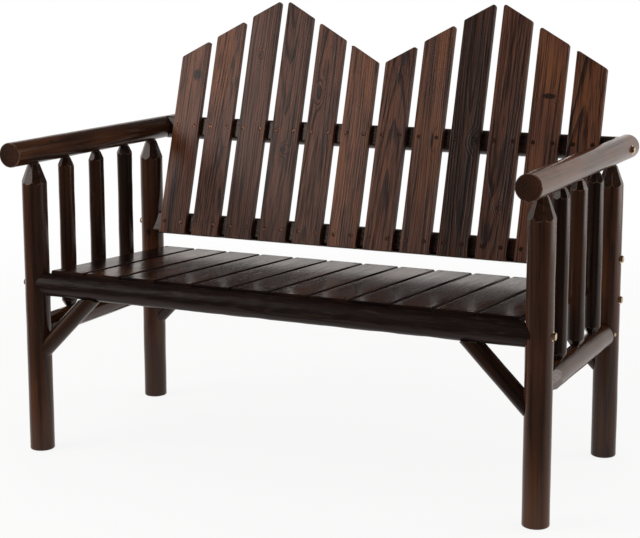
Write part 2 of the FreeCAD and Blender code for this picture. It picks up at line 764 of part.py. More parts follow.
# Fastener groups
def make_fasteners():
    """Bolts, washers, screws, pins and dowels, each kind in one node."""
    bolt = make_bolt()
    washer = make_washer()
    slat_screw = make_screw("slat_screw", "screw_length")
    pin = make_screw("pin_screw", "pin_length")
    foot = Z_AXIS * -size("dowel_half_length")
    dowel = cylinder("dowel", "dowel_radius", "dowel_half_length * 2", foot)
    seats = []
    for side in (-1, 1):
        for row, y in leg_planes.items():
            seats.append(bolt_place(vector(side * half_spacing, y, rail_heights[row]), side, "leg_radius"))
        seats.append(bolt_place(lower_back_axis + X_AXIS * side * half_spacing, side, "leg_radius"))
        seats.append(bolt_place(upper_back_axis + X_AXIS * side * half_spacing, side, "arm_radius"))
    on_washer = FreeCAD.Placement(Z_AXIS * size("washer_thickness"), rotation())
    finish(copies("rail_bolts", bolt, [seat * on_washer for seat in seats]), "rail_bolts")
    finish(copies("rail_bolt_washers", washer, seats), "rail_bolt_washers")
    back_spots = [spot for reach in back_screw_rows.values() for spot in back_screws(reach)]
    seat_spots = [spot for distance in seat_screw_rows.values() for spot in seat_screws(distance)]
    finish(copies("back_slat_screws", slat_screw, back_spots), "back_slat_screws")
    finish(copies("seat_slat_screws", slat_screw, seat_spots), "seat_slat_screws")
    pins = []
    dowels = []
    for side in (-1, 1):
        for row in leg_planes:
            start, way = pin_start(row, side)
            pins.append(FreeCAD.Placement(start, along(way)))
            for middle, direction in dowel_ends(row, side):
                dowels.append(FreeCAD.Placement(middle, along(direction)))
    finish(copies("side_rail_pins", pin, pins), "side_rail_pins")
    finish(copies("brace_dowels", dowel, dowels), "brace_dowels")


SIDES = {"left": -1, "right": 1}
for side_name, side in SIDES.items():
    for row in leg_planes:
        make_leg(row, side, f"leg_{row}_{side_name}")
        make_brace(row, side, f"brace_{row}_{side_name}")
    make_arm(side, f"arm_{side_name}")
    make_side_rail(side, f"side_rail_{side_name}")
    for number in range(SPINDLES):
        make_spindle(side, number, f"spindle_{side_name}_{number + 1}")
for row in leg_planes:
    make_seat_rail(row, f"seat_rail_{row}")
make_back_rail("lower", "back_rail_lower", lower_back_axis, "leg_radius", Z_AXIS)
make_back_rail("upper", "back_rail_upper", upper_back_axis, "arm_radius", Y_AXIS)
for number in range(1, SEAT_SLATS + 1):
    make_seat_slat(number, f"seat_slat_{number:02d}")
for number in range(1, BACK_SLATS + 1):
    make_back_slat(number, f"back_slat_{number:02d}")
make_fasteners()
doc.recompute()

# Nothing is written unless every object is sound
for item in doc.Objects:
    if "Invalid" in item.State or "Error" in item.State:
        raise RuntimeError(f"{item.Label} failed: {item.State}")
for item in finished:
    if item.Shape.isNull() or not item.Shape.isValid():
        raise RuntimeError(f"{item.Label} has no sound shape")
os.makedirs("parts", exist_ok=True)
for item in finished:
    item.Shape.exportStep(f"parts/{item.Label}.step")
    print(item.Label, len(item.Shape.Solids), round(item.Shape.Volume))
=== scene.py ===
import math
import random

import bmesh
import bpy
from bpy.props import FloatProperty, FloatVectorProperty, IntProperty, PointerProperty
from mathutils import Matrix, Vector


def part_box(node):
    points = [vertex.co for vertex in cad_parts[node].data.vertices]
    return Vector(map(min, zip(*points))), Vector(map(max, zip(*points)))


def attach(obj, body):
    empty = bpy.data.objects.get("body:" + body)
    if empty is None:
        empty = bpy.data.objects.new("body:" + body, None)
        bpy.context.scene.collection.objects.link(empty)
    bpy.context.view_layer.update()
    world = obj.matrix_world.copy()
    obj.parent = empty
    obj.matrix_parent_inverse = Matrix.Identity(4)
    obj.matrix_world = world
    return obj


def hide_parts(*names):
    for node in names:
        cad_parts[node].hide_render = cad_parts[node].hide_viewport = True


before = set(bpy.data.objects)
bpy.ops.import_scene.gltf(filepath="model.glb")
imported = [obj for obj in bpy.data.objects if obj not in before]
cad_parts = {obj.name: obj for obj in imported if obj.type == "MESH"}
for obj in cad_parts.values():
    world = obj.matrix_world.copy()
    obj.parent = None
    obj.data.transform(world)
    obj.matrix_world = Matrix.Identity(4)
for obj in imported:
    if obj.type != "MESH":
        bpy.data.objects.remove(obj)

bl_info = {
    "name": "Rustic log bench",
    "version": (1, 0, 0),
    "blender": (4, 5, 0),
    "location": "View3D > Sidebar > Log bench",
    "description": "Builds a stained log bench over its packed frame and sets it on a white floor",
    "category": "Object",
}

X_AXIS = Vector((1, 0, 0))
Y_AXIS = Vector((0, 1, 0))
Z_AXIS = Vector((0, 0, 1))
SIDES = {"left": -1, "right": 1}
ROWS = ("front", "rear")
SLATS = 12
SLATS_PER_PEAK = 6
SPINDLES = 3
# Facets of a leg's top and of the other whittled ends, and how uneven a hand leaves them, as shares of
# their angle and of their distance
LEG_FACETS = 8
FACETS = 7
FACET_TURN = 0.07
FACET_DEPTH = 0.05
# Sides of the round cutters, and cuts along the ledge, along the boards and across them
CUTTER_SIDES = 64
SCREW_SIDES = 20
LEDGE_CUTS = 180
BACK_CUTS = 30
SEAT_CUTS = 20
CUTS_ACROSS = 4
# Steps in each kind of rounding
ROUNDING_STEPS = {"foot": 4, "arm_end": 3, "arris": 2, "corner": 6, "rim": 3, "seat_side": 6}
# How many radii of a log a cutter reaches past it, and how many of its own a screw's hole goes on
CUTTER_REACH = 4
SCREW_REACH = 10
# How many times smaller than a screw's head the cutter's part over the board is
SCREW_PROUD = 8
# How far each leg is turned from the one before
LEG_TURN = math.pi / 4
# Shares of a face's direction over which it counts as a log's flat end, and under which as a cut face
END_FACE = 0.99
CUT_FACE = 0.3
# How fast end grain grows as a face turns to cut the trunk, and what is taken off, for ends and sawn sides
END_GRAIN = (8, 0.8)
SIDE_GRAIN = (4, 3.4)
# Where the random draws of each kind of piece start
SEEDS = {"facets": 3, "leg": 11, "arm": 31, "spindle": 51, "side_rail": 71, "seat_rail": 81, "back_rail": 91,
         "brace": 101, "back_slat": 200, "seat_slat": 300}
# Least and greatest tone, from dark to light, and least and greatest warmth of the pieces that vary
LOOKS = {"leg": (0.45, 0.6, 0.1, 0.3), "spindle": (0.0, 0.2, 0.1, 0.5), "side_rail": (0.4, 0.6, 0.1, 0.3),
         "brace": (0.02, 0.15, 0.1, 0.3), "seat_slat": (0.3, 0.7, 0.0, 0.4)}
# Tones and warmth of the other logs; the right arm's higher tone is partly a painted sheen of the light
# behind the bench's right end
ARM_TONES_AND_SHEEN = {"left": 0.5, "right": 0.75}
ARM_WARMTH = 0.3
SEAT_RAIL_TONES = {"front": 0.7, "rear": 0.0}
BACK_RAIL_LOOK = (0.12, 0.2)
# A place by the knot for boards and logs that have no chosen knot: many half widths away
NO_KNOT = Vector((9, 9, 9))
# Angles over which edges count as cuts of a log and as corners of a board
CUT_EDGE = math.radians(13)
BOARD_CORNER = math.radians(50)
# Angles over which the shading breaks, for whittled logs, spindles, coped logs and boards
WHITTLED = math.radians(12)
SLENDER = math.radians(14)
COPED = math.radians(16)
SAWN = math.radians(32)
# How far a log's pith runs off its middle, and how far along the patterns of the wood a piece may lie
PITH_WANDER = 0.006
TRUNK_REACH = 8
# How far a board's pith passes aside at most, and before or behind it at least and at most, and its slants
PITH_ASIDE = 0.055
PITH_DEPTHS = (0.018, 0.05)
PITH_SLANTS = (0.015, 0.045)
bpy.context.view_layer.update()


# Sizes and places read from the frame
def box(node):
    """Lowest and highest corner of a CAD node, as vectors."""
    low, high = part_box(node)
    return Vector(low), Vector(high)


def middle(node):
    """Middle of a CAD node's box."""
    low, high = box(node)
    return (low + high) / 2


def half_width(node, axis):
    """Half of a CAD node's width along one axis, which is a log's radius across it."""
    low, high = box(node)
    return (high[axis] - low[axis]) / 2


def leg_middle(row, side):
    """Centre line of a leg at the ground."""
    place = middle(f"leg_{row}_{side}")
    return Vector((place.x, place.y, 0))


LEG_RADIUS = half_width("leg_front_left", 0)
LEG_TOP = box("arm_left")[0].z
ARM_RADIUS = half_width("arm_left", 2)
HALF_SPACING = leg_middle("front", "right").x
LEG_PLANES = {row: leg_middle(row, "left").y for row in ROWS}
RAIL_RADII = {row: half_width(f"seat_rail_{row}", 1) for row in ROWS}
BACK_RAIL_RADIUS = half_width("back_rail_lower", 2)


def seat_rail_axis(row):
    """A point on a seat rail's centre line, measured from below, because its top is cut for the slats."""
    low = box(f"seat_rail_{row}")[0]
    return Vector((0, LEG_PLANES[row], low.z + RAIL_RADII[row]))


def back_rail_axis(level):
    """A point on a back rail's centre line, measured from behind, because its front is planed flat."""
    place = middle(f"back_rail_{level}")
    return Vector((0, box(f"back_rail_{level}")[1].y - BACK_RAIL_RADIUS, place.z))


# Sizes and colours that a user would change
def length_setting(name, description, default):
    """A length in metres."""
    return FloatProperty(name=name, description=description, default=default, unit="LENGTH")


def angle_setting(name, description, default):
    """An angle in radians."""
    return FloatProperty(name=name, description=description, default=default, subtype="ANGLE")


def color_setting(name, description, default):
    """A colour."""
    return FloatVectorProperty(name=name, description=description, default=default, subtype="COLOR")


class BenchLogSizes(bpy.types.PropertyGroup):
    """Sizes of the whittled logs that the frame's boxes don't give."""

    leg_taper: length_setting("Leg taper", "Length of a leg's whittled top", 0.049)
    leg_tenon_radius: length_setting("Leg tenon radius", "Radius of the peg on a leg's top", 0.012)
    spindle_top_taper: length_setting("Spindle top taper", "Length of a spindle's whittled top", 0.023)
    spindle_foot_taper: length_setting("Spindle foot taper", "Length of a spindle's whittled foot", 0.017)
    spindle_tenon_radius: length_setting("Spindle tenon radius",
                                         "Radius of the pegs on a spindle's ends", 0.0095)
    rail_front_taper: length_setting("Side rail front taper",
                                     "Length of a side rail's whittled front end", 0.058)
    rail_rear_taper: length_setting("Side rail rear taper",
                                    "Length of a side rail's whittled rear end", 0.012)
    rail_tenon_radius: length_setting("Side rail tenon radius",
                                      "Radius of the pegs on a side rail's ends", 0.017)
    shoulder: length_setting("Tenon shoulder", "Step from a whittled end to its tenon", 0.0015)
    relief: length_setting("Facet relief", "How far over the log's surface the facets start", 0.001)
    foot_rounding: length_setting("Foot rounding", "Rounding of a leg's lower edge", 0.004)
    end_bevel: length_setting("Arm end bevel", "Bevel round an arm's ends", 0.0025)
    arris: length_setting("Softened arris", "Width of the rounding on a log's cut edges", 0.0007)
    unevenness: length_setting("Unevenness", "Depth of the hollows left by peeling", 0.0012)
    ledge_depth: length_setting("Ledge depth", "How far the front rail's lower face is cut back", 0.0075)
    ledge_drop: length_setting("Ledge drop", "How far the ledge lies under the rail's middle", 0.004)
    ledge_waves: length_setting("Ledge waves", "Height of the ledge's waves", 0.022)
    bark_depth: length_setting("Bark depth", "Depth of the front rail's rough hollows", 0.0030)
    bark_stretch: FloatProperty(name="Bark stretch", default=3.0,
                                description="How much longer than high the rough hollows are")
    bark_grain: length_setting("Bark grain", "Depth of the front rail's finer roughness", 0.0013)
    rail_end_trim: length_setting("Rail end trim",
                                  "How far short of the leg's middle the front rail's tips are cut", 0.013)
    brace_radius: length_setting("Brace radius", "Radius of the short slanted logs", 0.020)
    brace_reach: length_setting("Brace reach", "How far a brace reaches down and along", 0.170)
    spot_radius: length_setting("Spot face radius", "Radius of the flat under a washer", 0.0115)
    pin_turn: angle_setting("Pin turn", "How far round its leg a side rail's pin sits", math.radians(31))
    pin_slant: angle_setting("Pin slant", "Slant of a side rail's pin", math.radians(15))
    gap: length_setting("Cope gap", "Gap between a coped end and the log it meets", 0.0003)
    sides: IntProperty(name="Log sides", description="How many sides a thick log's mesh has", default=56)
    thin_sides: IntProperty(name="Thin log sides", description="How many sides a thin log has", default=40)
    ring_step: length_setting("Ring step", "Distance between a log mesh's rings", 0.014)


class BenchBoardSizes(bpy.types.PropertyGroup):
    """Sizes of the slats that the frame's boxes don't give."""

    recline: angle_setting("Recline", "How far the back leans", math.radians(17.2))
    peak_slope: angle_setting("Peak slope", "Slope of the back slats' tops", math.radians(29.8))
    back_pitch: length_setting("Back slat pitch", "From one back slat's middle to the next", 0.0947)
    back_width: length_setting("Back slat width", "Width of a back slat", 0.075)
    back_thickness: length_setting("Back slat thickness", "Thickness of a back slat", 0.014)
    back_outer_length: length_setting("Outer length", "Back slat's length where a peak starts", 0.453)
    back_tail: length_setting("Tail", "Back slat's length under its lower screws", 0.030)
    back_flat_depth: length_setting("Rail flat depth", "How deep the back rails are planed", 0.010)
    back_screw_spread: length_setting("Back screw spread", "Screws' distance from the middle", 0.023)
    corner_rounding: length_setting("Corner rounding", "Rounding of a back slat's corners", 0.006)
    back_edge: length_setting("Back slat edge", "Rounding of a back slat's edges", 0.0015)
    seat_front_height: length_setting("Seat front height", "Top of the seat at its front", 0.428)
    seat_rear_height: length_setting("Seat rear height", "Top of the seat at its rear", 0.4015)
    seat_thickness: length_setting("Seat slat thickness", "Thickness of a seat slat", 0.015)
    seat_side_rounding: length_setting("Seat slat rounding", "Rounding of the long upper edges", 0.005)
    seat_end_rounding: length_setting("Seat slat end rounding", "Rounding of the end edges", 0.0015)
    seat_screw_spread: length_setting("Seat screw spread", "Screws' distance from the middle", 0.030)
    seat_screw_inset: length_setting("Seat screw inset", "Screws' distance from a slat's end", 0.015)
    screw_head_radius: length_setting("Sink radius", "Radius of a screw's countersink", 0.0056)
    screw_radius: length_setting("Screw hole radius", "Radius of a screw's hole", 0.00245)
    unevenness: length_setting("Unevenness", "Depth of the hollows left by planing", 0.0004)
    seat_unevenness: length_setting("Seat unevenness", "Depth of the seat's hollows", 0.0002)


class BenchFinish(bpy.types.PropertyGroup):
    """Stains and metals."""

    log_light: color_setting("Log light", "Lighter wood of the logs", (0.038, 0.0145, 0.0070))
    log_dark: color_setting("Log dark", "Darker wood of the logs", (0.0110, 0.0044, 0.0029))
    rail_light: color_setting("Seat rail light", "Lighter wood of the seat's rails", (0.0250, 0.0175, 0.0165))
    rail_dark: color_setting("Seat rail dark", "Darker wood of the seat's rails", (0.0075, 0.0046, 0.0043))
    seat_light: color_setting("Seat light", "Lighter wood of the seat", (0.0115, 0.0054, 0.0045))
    seat_dark: color_setting("Seat dark", "Darker wood of the seat", (0.0034, 0.0017, 0.0016))
    back_light: color_setting("Back light", "Lighter wood of the back", (0.100, 0.036, 0.0195))
    back_dark: color_setting("Back dark", "Darker wood of the back", (0.016, 0.0052, 0.0034))
    # Rubbed edge: stain worn off the rounded edges, made lighter than wear alone as a painted highlight of
    # the varnish's glint there
    rubbed_edge_and_glint: color_setting("Rubbed edge", "Edges where the stain is rubbed off", (0.135, 0.080, 0.055))
    flame: color_setting("Flame", "Orange tint where the stain is thin", (0.175, 0.058, 0.017))
    char: color_setting("Char", "Black-brown of latewood, knots and end grain", (0.0070, 0.0032, 0.0024))
    plating: color_setting("Plating", "Pale brass plating of the bolts", (0.60, 0.46, 0.31))
    tarnish: color_setting("Tarnish", "Dulled plating", (0.24, 0.15, 0.085))
    screw_bronze: color_setting("Screw bronze", "Dark bronze of the screws", (0.095, 0.050, 0.036))
    screw_stain: color_setting("Screw stain", "Stain left on the screws' heads", (0.024, 0.013, 0.009))
    bare_wood: color_setting("Bare wood", "Unstained wood of the dowels", (0.42, 0.26, 0.13))


class BenchStage(bpy.types.PropertyGroup):
    """Camera, lamps and floor."""

    camera_place: FloatVectorProperty(name="Camera place", description="Where the camera stands",
                                      default=(1.5077, -3.18666, 1.12803), subtype="TRANSLATION")
    camera_yaw: angle_setting("Camera yaw", "Turn to the left of the bench's depth axis", 0.44581)
    camera_pitch: angle_setting("Camera pitch", "Tilt downwards", 0.16398)
    camera_roll: angle_setting("Camera roll", "Roll about the line of sight", 0.00211)
    camera_lens: FloatProperty(name="Lens", description="Focal length in millimetres", default=88.066)
    camera_shift: FloatProperty(name="Shift", description="Downward shift of the frame", default=-0.08)
    floor_size: length_setting("Floor size", "Side of the floor", 60.0)
    floor_tone: color_setting("Floor tone", "Colour of the floor", (0.80, 0.795, 0.80))
    room_light: FloatProperty(name="Room light", description="Strength of the light from all round",
                              default=0.72)
    dim_side: FloatProperty(name="Dim side", description="What shines back of the room overhead and in front",
                            default=0.05)
    shine_tint: color_setting("Shine tint", "Colour of the white paper in the varnish", (1.0, 0.94, 0.905))
    key_power: FloatProperty(name="Key lamp", description="Power of the lamp at the front left",
                             default=50.0, unit="POWER")
    key_tint: color_setting("Key tint", "Colour of the lamp at the front left", (1.0, 0.91, 0.86))
    rim_power: FloatProperty(name="Rim lamp", description="Power of the lamp behind the bench's right end",
                             default=55.0, unit="POWER")
    rim_tint: color_setting("Rim tint", "Colour of the lamp behind the right end", (1.0, 0.90, 0.84))


# Tools of the bench maker
def select_only(piece):
    """Selects one piece and nothing else."""
    bpy.ops.object.select_all(action="DESELECT")
    bpy.context.view_layer.objects.active = piece
    piece.select_set(True)


def start_piece(name):
    """Takes the primitive that was just added as a new piece."""
    piece = bpy.context.active_object
    piece.name = name
    piece.data.name = name
    return piece


def edit(piece):
    """Opens a piece in edit mode with nothing selected."""
    select_only(piece)
    bpy.ops.object.mode_set(mode="EDIT")
    bpy.ops.mesh.select_all(action="DESELECT")


def close_edit():
    """Leaves edit mode."""
    bpy.ops.object.mode_set(mode="OBJECT")


def pick(piece, kind, test):
    """Selects the vertices, edges or faces of the open piece that pass a test."""
    bpy.ops.mesh.select_all(action="DESELECT")
    bpy.context.tool_settings.mesh_select_mode = [word == kind for word in ("verts", "edges", "faces")]
    mesh = bmesh.from_edit_mesh(piece.data)
    for item in getattr(mesh, kind):
        if test(item):
            item.select_set(True)
    mesh.select_flush_mode()
    bmesh.update_edit_mesh(piece.data)


# Shares of an edge's or a face's direction over which it counts as along an axis, and under which as across
ALONG = 0.9
ACROSS = 0.1


def way_share(edge, axis):
    """How much of an edge's direction runs along an axis, from 0 to 1."""
    return abs((edge.verts[1].co - edge.verts[0].co).normalized()[axis])


def cut_rings(piece, axis, cuts):
    """Cuts the edges of the open piece that run along an axis into shorter ones."""
    pick(piece, "edges", lambda edge: way_share(edge, axis) > ALONG)
    bpy.ops.mesh.subdivide(number_cuts=cuts)


# A face of a rounded edge is at most this many times as wide as the rounding's offset.
WIDEST_STRIP = 1.5


def bevel_marking_wear_and_glint(piece, width, segments):
    """Rounds the picked edges of the open piece and marks the crests of the roundings, where worn stain and a
    painted highlight go.
    """
    bpy.ops.mesh.bevel(offset=width, segments=segments, affect="EDGES", clamp_overlap=False)
    mesh = bmesh.from_edit_mesh(piece.data)
    worn = mesh.faces.layers.float.get("worn") or mesh.faces.layers.float.new("worn")
    crest = {vertex for vertex in mesh.verts if all(face.select for face in vertex.link_faces)}
    for face in mesh.faces:
        longest = max(edge.calc_length() for edge in face.edges)
        if face.select and face.calc_area() < longest * width * WIDEST_STRIP:
            face[worn] = sum(vertex in crest for vertex in face.verts) / len(face.verts)
    bmesh.update_edit_mesh(piece.data)


def copy_piece(piece, name):
    """A copy with its own mesh."""
    twin = piece.copy()
    twin.data = piece.data.copy()
    twin.name = name
    twin.data.name = name
    bpy.context.collection.objects.link(twin)
    return twin


def throw_away(*pieces):
    """Deletes blanks and cutters."""
    for piece in pieces:
        bpy.data.objects.remove(piece, do_unlink=True)


def settle(piece, matrix):
    """Moves a piece by a matrix and keeps its place in its mesh."""
    piece.matrix_world = matrix
    select_only(piece)
    bpy.ops.object.transform_apply(location=True, rotation=True, scale=True)


def join(pieces):
    """Joins several pieces into the first."""
    select_only(pieces[0])
    for piece in pieces[1:]:
        piece.select_set(True)
    bpy.ops.object.join()
    return pieces[0]


def apply_modifier(piece, name, kind, **settings):
    """Gives a piece a modifier with its settings and applies it."""
    modifier = piece.modifiers.new(name, kind)
    for word, value in settings.items():
        setattr(modifier, word, value)
    select_only(piece)
    bpy.ops.object.modifier_apply(modifier=modifier.name)


def apply_clouds(piece, name, size, depth, **settings):
    """Shifts a piece's surface by clouds of a size in metres, with a depth of finer clouds in them."""
    texture = bpy.data.textures.new(name, "CLOUDS")
    texture.noise_scale = size
    texture.noise_depth = depth
    apply_modifier(piece, name, "DISPLACE", texture=texture, texture_coords="GLOBAL", **settings)


def cut_away(piece, cutter):
    """Takes a cutter's shape out of a piece."""
    apply_modifier(piece, "Cut", "BOOLEAN", operation="DIFFERENCE", solver="EXACT", object=cutter)


def carve(piece, cutter):
    """Takes a cutter's shape out of a piece and deletes the cutter."""
    cut_away(piece, cutter)
    throw_away(cutter)


def slice_off(place, normal):
    """Cuts off what lies beyond a plane in the open piece, and closes the cut."""
    bpy.ops.mesh.select_all(action="SELECT")
    bpy.ops.mesh.bisect(plane_co=place, plane_no=normal, use_fill=True, clear_outer=True)


def pick_sharp(sharpness):
    """Selects the edges of the open piece that are sharper than an angle."""
    bpy.context.tool_settings.mesh_select_mode = (False, True, False)
    bpy.ops.mesh.select_all(action="DESELECT")
    bpy.ops.mesh.edges_select_sharp(sharpness=sharpness)


# How long the waves of the front rail's ledge are, and how far apart the hollows of each kind lie, in metres
LEDGE_WAVE = 0.06
HOLLOW_SIZES = {"leg_hollows": 0.09, "arm_hollows": 0.11, "spindle_hollows": 0.07, "side_rail_hollows": 0.08,
                "rail_hollows": 0.12, "bark_hollows": 0.022, "bark_grain": 0.008, "brace_hollows": 0.07,
                "back_hollows": 0.14, "seat_hollows": 0.08}


def hollow(piece, name, depth):
    """Lets a piece's surface sink a little here and there, as hand work leaves it."""
    apply_clouds(piece, name, HOLLOW_SIZES[name], 1, mid_level=1.0, strength=depth)


def block(name, matrix):
    """A block, from a cube of one metre that is laid by a matrix."""
    bpy.ops.mesh.primitive_cube_add(size=1)
    piece = start_piece(name)
    settle(piece, matrix)
    return piece


def bar_cutter(start, way, radius, length):
    """A round cutter from a start point along a direction."""
    turn = Z_AXIS.rotation_difference(way).to_euler()
    bpy.ops.mesh.primitive_cylinder_add(vertices=CUTTER_SIDES, radius=radius, depth=length,
                                        location=start + way * length / 2, rotation=turn)
    return start_piece("bar_cutter")


def lay_along(start, way, turn):
    """The matrix that lays a piece made along Z from a start point along a direction, turned about itself."""
    spin = Matrix.Rotation(turn, 4, "Z")
    return Matrix.Translation(start) @ Z_AXIS.rotation_difference(way).to_matrix().to_4x4() @ spin


def mark_points(mesh, name, places):
    """Writes a place for each point of a mesh."""
    layer = mesh.attributes.new(name, "FLOAT_VECTOR", "POINT")
    layer.data.foreach_set("vector", [number for place in places for number in place])


def mark_faces(mesh, name, values):
    """Writes a number for each face of a mesh."""
    layer = mesh.attributes.new(name, "FLOAT", "FACE")
    layer.data.foreach_set("value", values)


def facing(mesh, way, growth, loss):
    """For each face of a mesh, a number that grows the more squarely it faces along a direction."""
    return [abs(face.normal.dot(way)) * growth - loss for face in mesh.polygons]


def mark_wood(piece, placement, pith, lean, look, knot=None, sawn=False):
    """Writes where each point lay in its trunk and by its chosen knot, where saws cut, the tone and warmth.

    pith is where the trunk's middle passes the piece's own Z axis, and lean how it slants from it. knot
    turns a place in the piece into one measured from the knot, in the knot's own half widths.
    """
    mesh = piece.data
    to_local = placement.inverted()
    places = [to_local @ vertex.co for vertex in mesh.vertices]
    slant = Vector((lean.x, lean.y, 0))
    mark_points(mesh, "trunk", [place - slant * place.z - pith for place in places])
    mark_points(mesh, "by_knot", [knot @ place if knot else NO_KNOT for place in places])
    ends = facing(mesh, placement.to_3x3() @ Z_AXIS, *END_GRAIN)
    if sawn:
        sides = facing(mesh, placement.to_3x3() @ X_AXIS, *SIDE_GRAIN)
        ends = [max(pair) for pair in zip(ends, sides)]
    mark_faces(mesh, "end_grain", [min(1.0, max(0.0, end)) for end in ends])
    mark_faces(mesh, "tone", [look[0]] * len(ends))
    mark_faces(mesh, "warmth", [look[1]] * len(ends))
    # Crests of rounded edges carry worn stain and a painted highlight; pieces with no rounded edge get an
    # empty mask
    if "worn" not in mesh.attributes:
        mesh.attributes.new("worn", "FLOAT", "FACE")


def hand_over(piece, node, wood, smooth):
    """Finishes a piece: shading, material, body and node."""
    select_only(piece)
    bpy.ops.object.shade_smooth_by_angle(angle=smooth)
    apply_modifier(piece, "Flat faces", "WEIGHTED_NORMAL", keep_sharp=True)
    piece.data.materials.clear()
    piece.data.materials.append(stained_wood(wood))
    piece.name = f"{node}.wood"
    piece.data.name = piece.name
    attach(piece, "root")
    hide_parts(node)


def luck_of(kind, number):
    """The random draws of one piece."""
    return random.Random(SEEDS[kind] + number)


def look_of(kind, luck):
    """A random tone and a random warmth that suit a kind of piece."""
    darkest, lightest, coolest, warmest = LOOKS[kind]
    return luck.uniform(darkest, lightest), luck.uniform(coolest, warmest)


# Logs
def round_log(name, radius, length, sides, step):
    """A log blank along Z from the origin, with rings for its unevenness."""
    bpy.ops.mesh.primitive_cylinder_add(vertices=sides, radius=radius, depth=length,
                                        location=(0, 0, length / 2))
    piece = start_piece(name)
    settle(piece, piece.matrix_world.copy())
    edit(piece)
    cut_rings(piece, 2, max(2, int(length / step)))
    close_edit()
    return piece


def whittle(piece, facets, wide, narrow, start, end, luck):
    """Cuts flat facets that close in from a wide distance at start to a narrow one at end."""
    edit(piece)
    outward = 1 if end > start else -1
    for number in range(facets):
        angle = 2 * math.pi * (number + luck.uniform(-FACET_TURN, FACET_TURN)) / facets
        near = narrow * (1 - luck.uniform(0, FACET_DEPTH))
        side = Vector((math.cos(angle), math.sin(angle), 0))
        normal = side * abs(end - start) + Z_AXIS * outward * (wide - near)
        slice_off(side * near + Z_AXIS * end, normal.normalized())
    close_edit()


def peg(piece, height, way, shoulder, length):
    """Draws a tenon out of a whittled end."""
    edit(piece)
    pick(piece, "faces", lambda face: face.normal.z * way > END_FACE
         and abs(face.calc_center_median().z - height) < shoulder)
    bpy.ops.mesh.inset(thickness=shoulder)
    bpy.ops.mesh.extrude_region_move(TRANSFORM_OT_translate={"value": (0, 0, way * length)})
    close_edit()


def soften_cuts(piece, width):
    """Softens every cut edge of a log."""
    edit(piece)
    pick_sharp(CUT_EDGE)
    bevel_marking_wear_and_glint(piece, width, ROUNDING_STEPS["arris"])
    close_edit()


def shape_ends(piece, radius, length, tenon_radius, tapers, tenons, sizes, luck):
    """Whittles both ends of a log to tenons; tapers and tenons are lengths at its start and at its end."""
    wide = radius + sizes.relief
    narrow = tenon_radius + sizes.shoulder
    whittle(piece, FACETS, wide, narrow, length - tapers[1], length, luck)
    whittle(piece, FACETS, wide, narrow, tapers[0], 0, luck)
    peg(piece, length, 1, sizes.shoulder, tenons[1])
    peg(piece, 0, -1, sizes.shoulder, tenons[0])
    soften_cuts(piece, sizes.arris)


def spot_face(piece, place, outward, radius, sizes):
    """Cuts the flat for a washer into a log's side, from a place on its centre line."""
    seat = math.sqrt(radius ** 2 - sizes.spot_radius ** 2)
    carve(piece, bar_cutter(place + outward * seat, outward, sizes.spot_radius, radius))


def log_wood(piece, placement, luck, look):
    """Gives a log its heartwood: the pith runs nearly through its middle. look is its tone and its warmth."""
    wander = (-PITH_WANDER, PITH_WANDER)
    pith = Vector((luck.uniform(*wander), luck.uniform(*wander), luck.uniform(-TRUNK_REACH, TRUNK_REACH)))
    lean = Vector((luck.uniform(*wander), luck.uniform(*wander)))
    mark_wood(piece, placement, pith, lean, look)


class BENCH_OT_legs(bpy.types.Operator):
    """Build the four legs, upright logs with whittled tops"""

    bl_idname = "bench.legs"
    bl_label = "Legs"

    def execute(self, context):
        sizes = context.scene.bench_logs
        blank = round_log("leg_blank", LEG_RADIUS, LEG_TOP, sizes.sides, sizes.ring_step)
        whittle(blank, LEG_FACETS, LEG_RADIUS + sizes.relief, sizes.leg_tenon_radius + sizes.shoulder,
                LEG_TOP - sizes.leg_taper, LEG_TOP, luck_of("facets", 0))
        peg(blank, LEG_TOP, 1, sizes.shoulder, box("leg_front_left")[1].z - LEG_TOP)
        edit(blank)
        pick(blank, "edges", lambda edge: all(vertex.co.z < sizes.arris for vertex in edge.verts))
        bevel_marking_wear_and_glint(blank, sizes.foot_rounding, ROUNDING_STEPS["foot"])
        close_edit()
        soften_cuts(blank, sizes.arris)
        for number, (row, side) in enumerate((row, side) for row in ROWS for side in SIDES):
            luck = luck_of("leg", number)
            foot = leg_middle(row, side)
            placement = lay_along(foot, Z_AXIS, number * LEG_TURN)
            leg = copy_piece(blank, f"leg_{row}_{side}")
            settle(leg, placement)
            hollow(leg, "leg_hollows", sizes.unevenness)
            heights = [seat_rail_axis(row).z]
            if row == "rear":
                heights.append(back_rail_axis("lower").z)
            outward = X_AXIS * SIDES[side]
            for height in heights:
                spot_face(leg, foot + Z_AXIS * height, outward, LEG_RADIUS, sizes)
            carve(leg, self.pin_cutter(context, row, side))
            log_wood(leg, placement, luck, look_of("leg", luck))
            hand_over(leg, f"leg_{row}_{side}", "log", WHITTLED)
        throw_away(blank)
        return {"FINISHED"}

    def pin_cutter(self, context, row, side):
        """The clear way to the head of a side rail's pin."""
        sizes = context.scene.bench_logs
        boards = context.scene.bench_boards
        to_rail = 1 if row == "front" else -1
        sign = SIDES[side]
        outward = Vector((sign * math.cos(sizes.pin_turn), to_rail * math.sin(sizes.pin_turn), 0))
        way = Vector((sign * math.cos(sizes.pin_slant), to_rail * math.sin(sizes.pin_slant), 0))
        height = middle(f"side_rail_{side}").z
        start = leg_middle(row, side) + outward * LEG_RADIUS + Z_AXIS * height - way * sizes.shoulder
        return bar_cutter(start, way, boards.screw_head_radius, LEG_RADIUS)


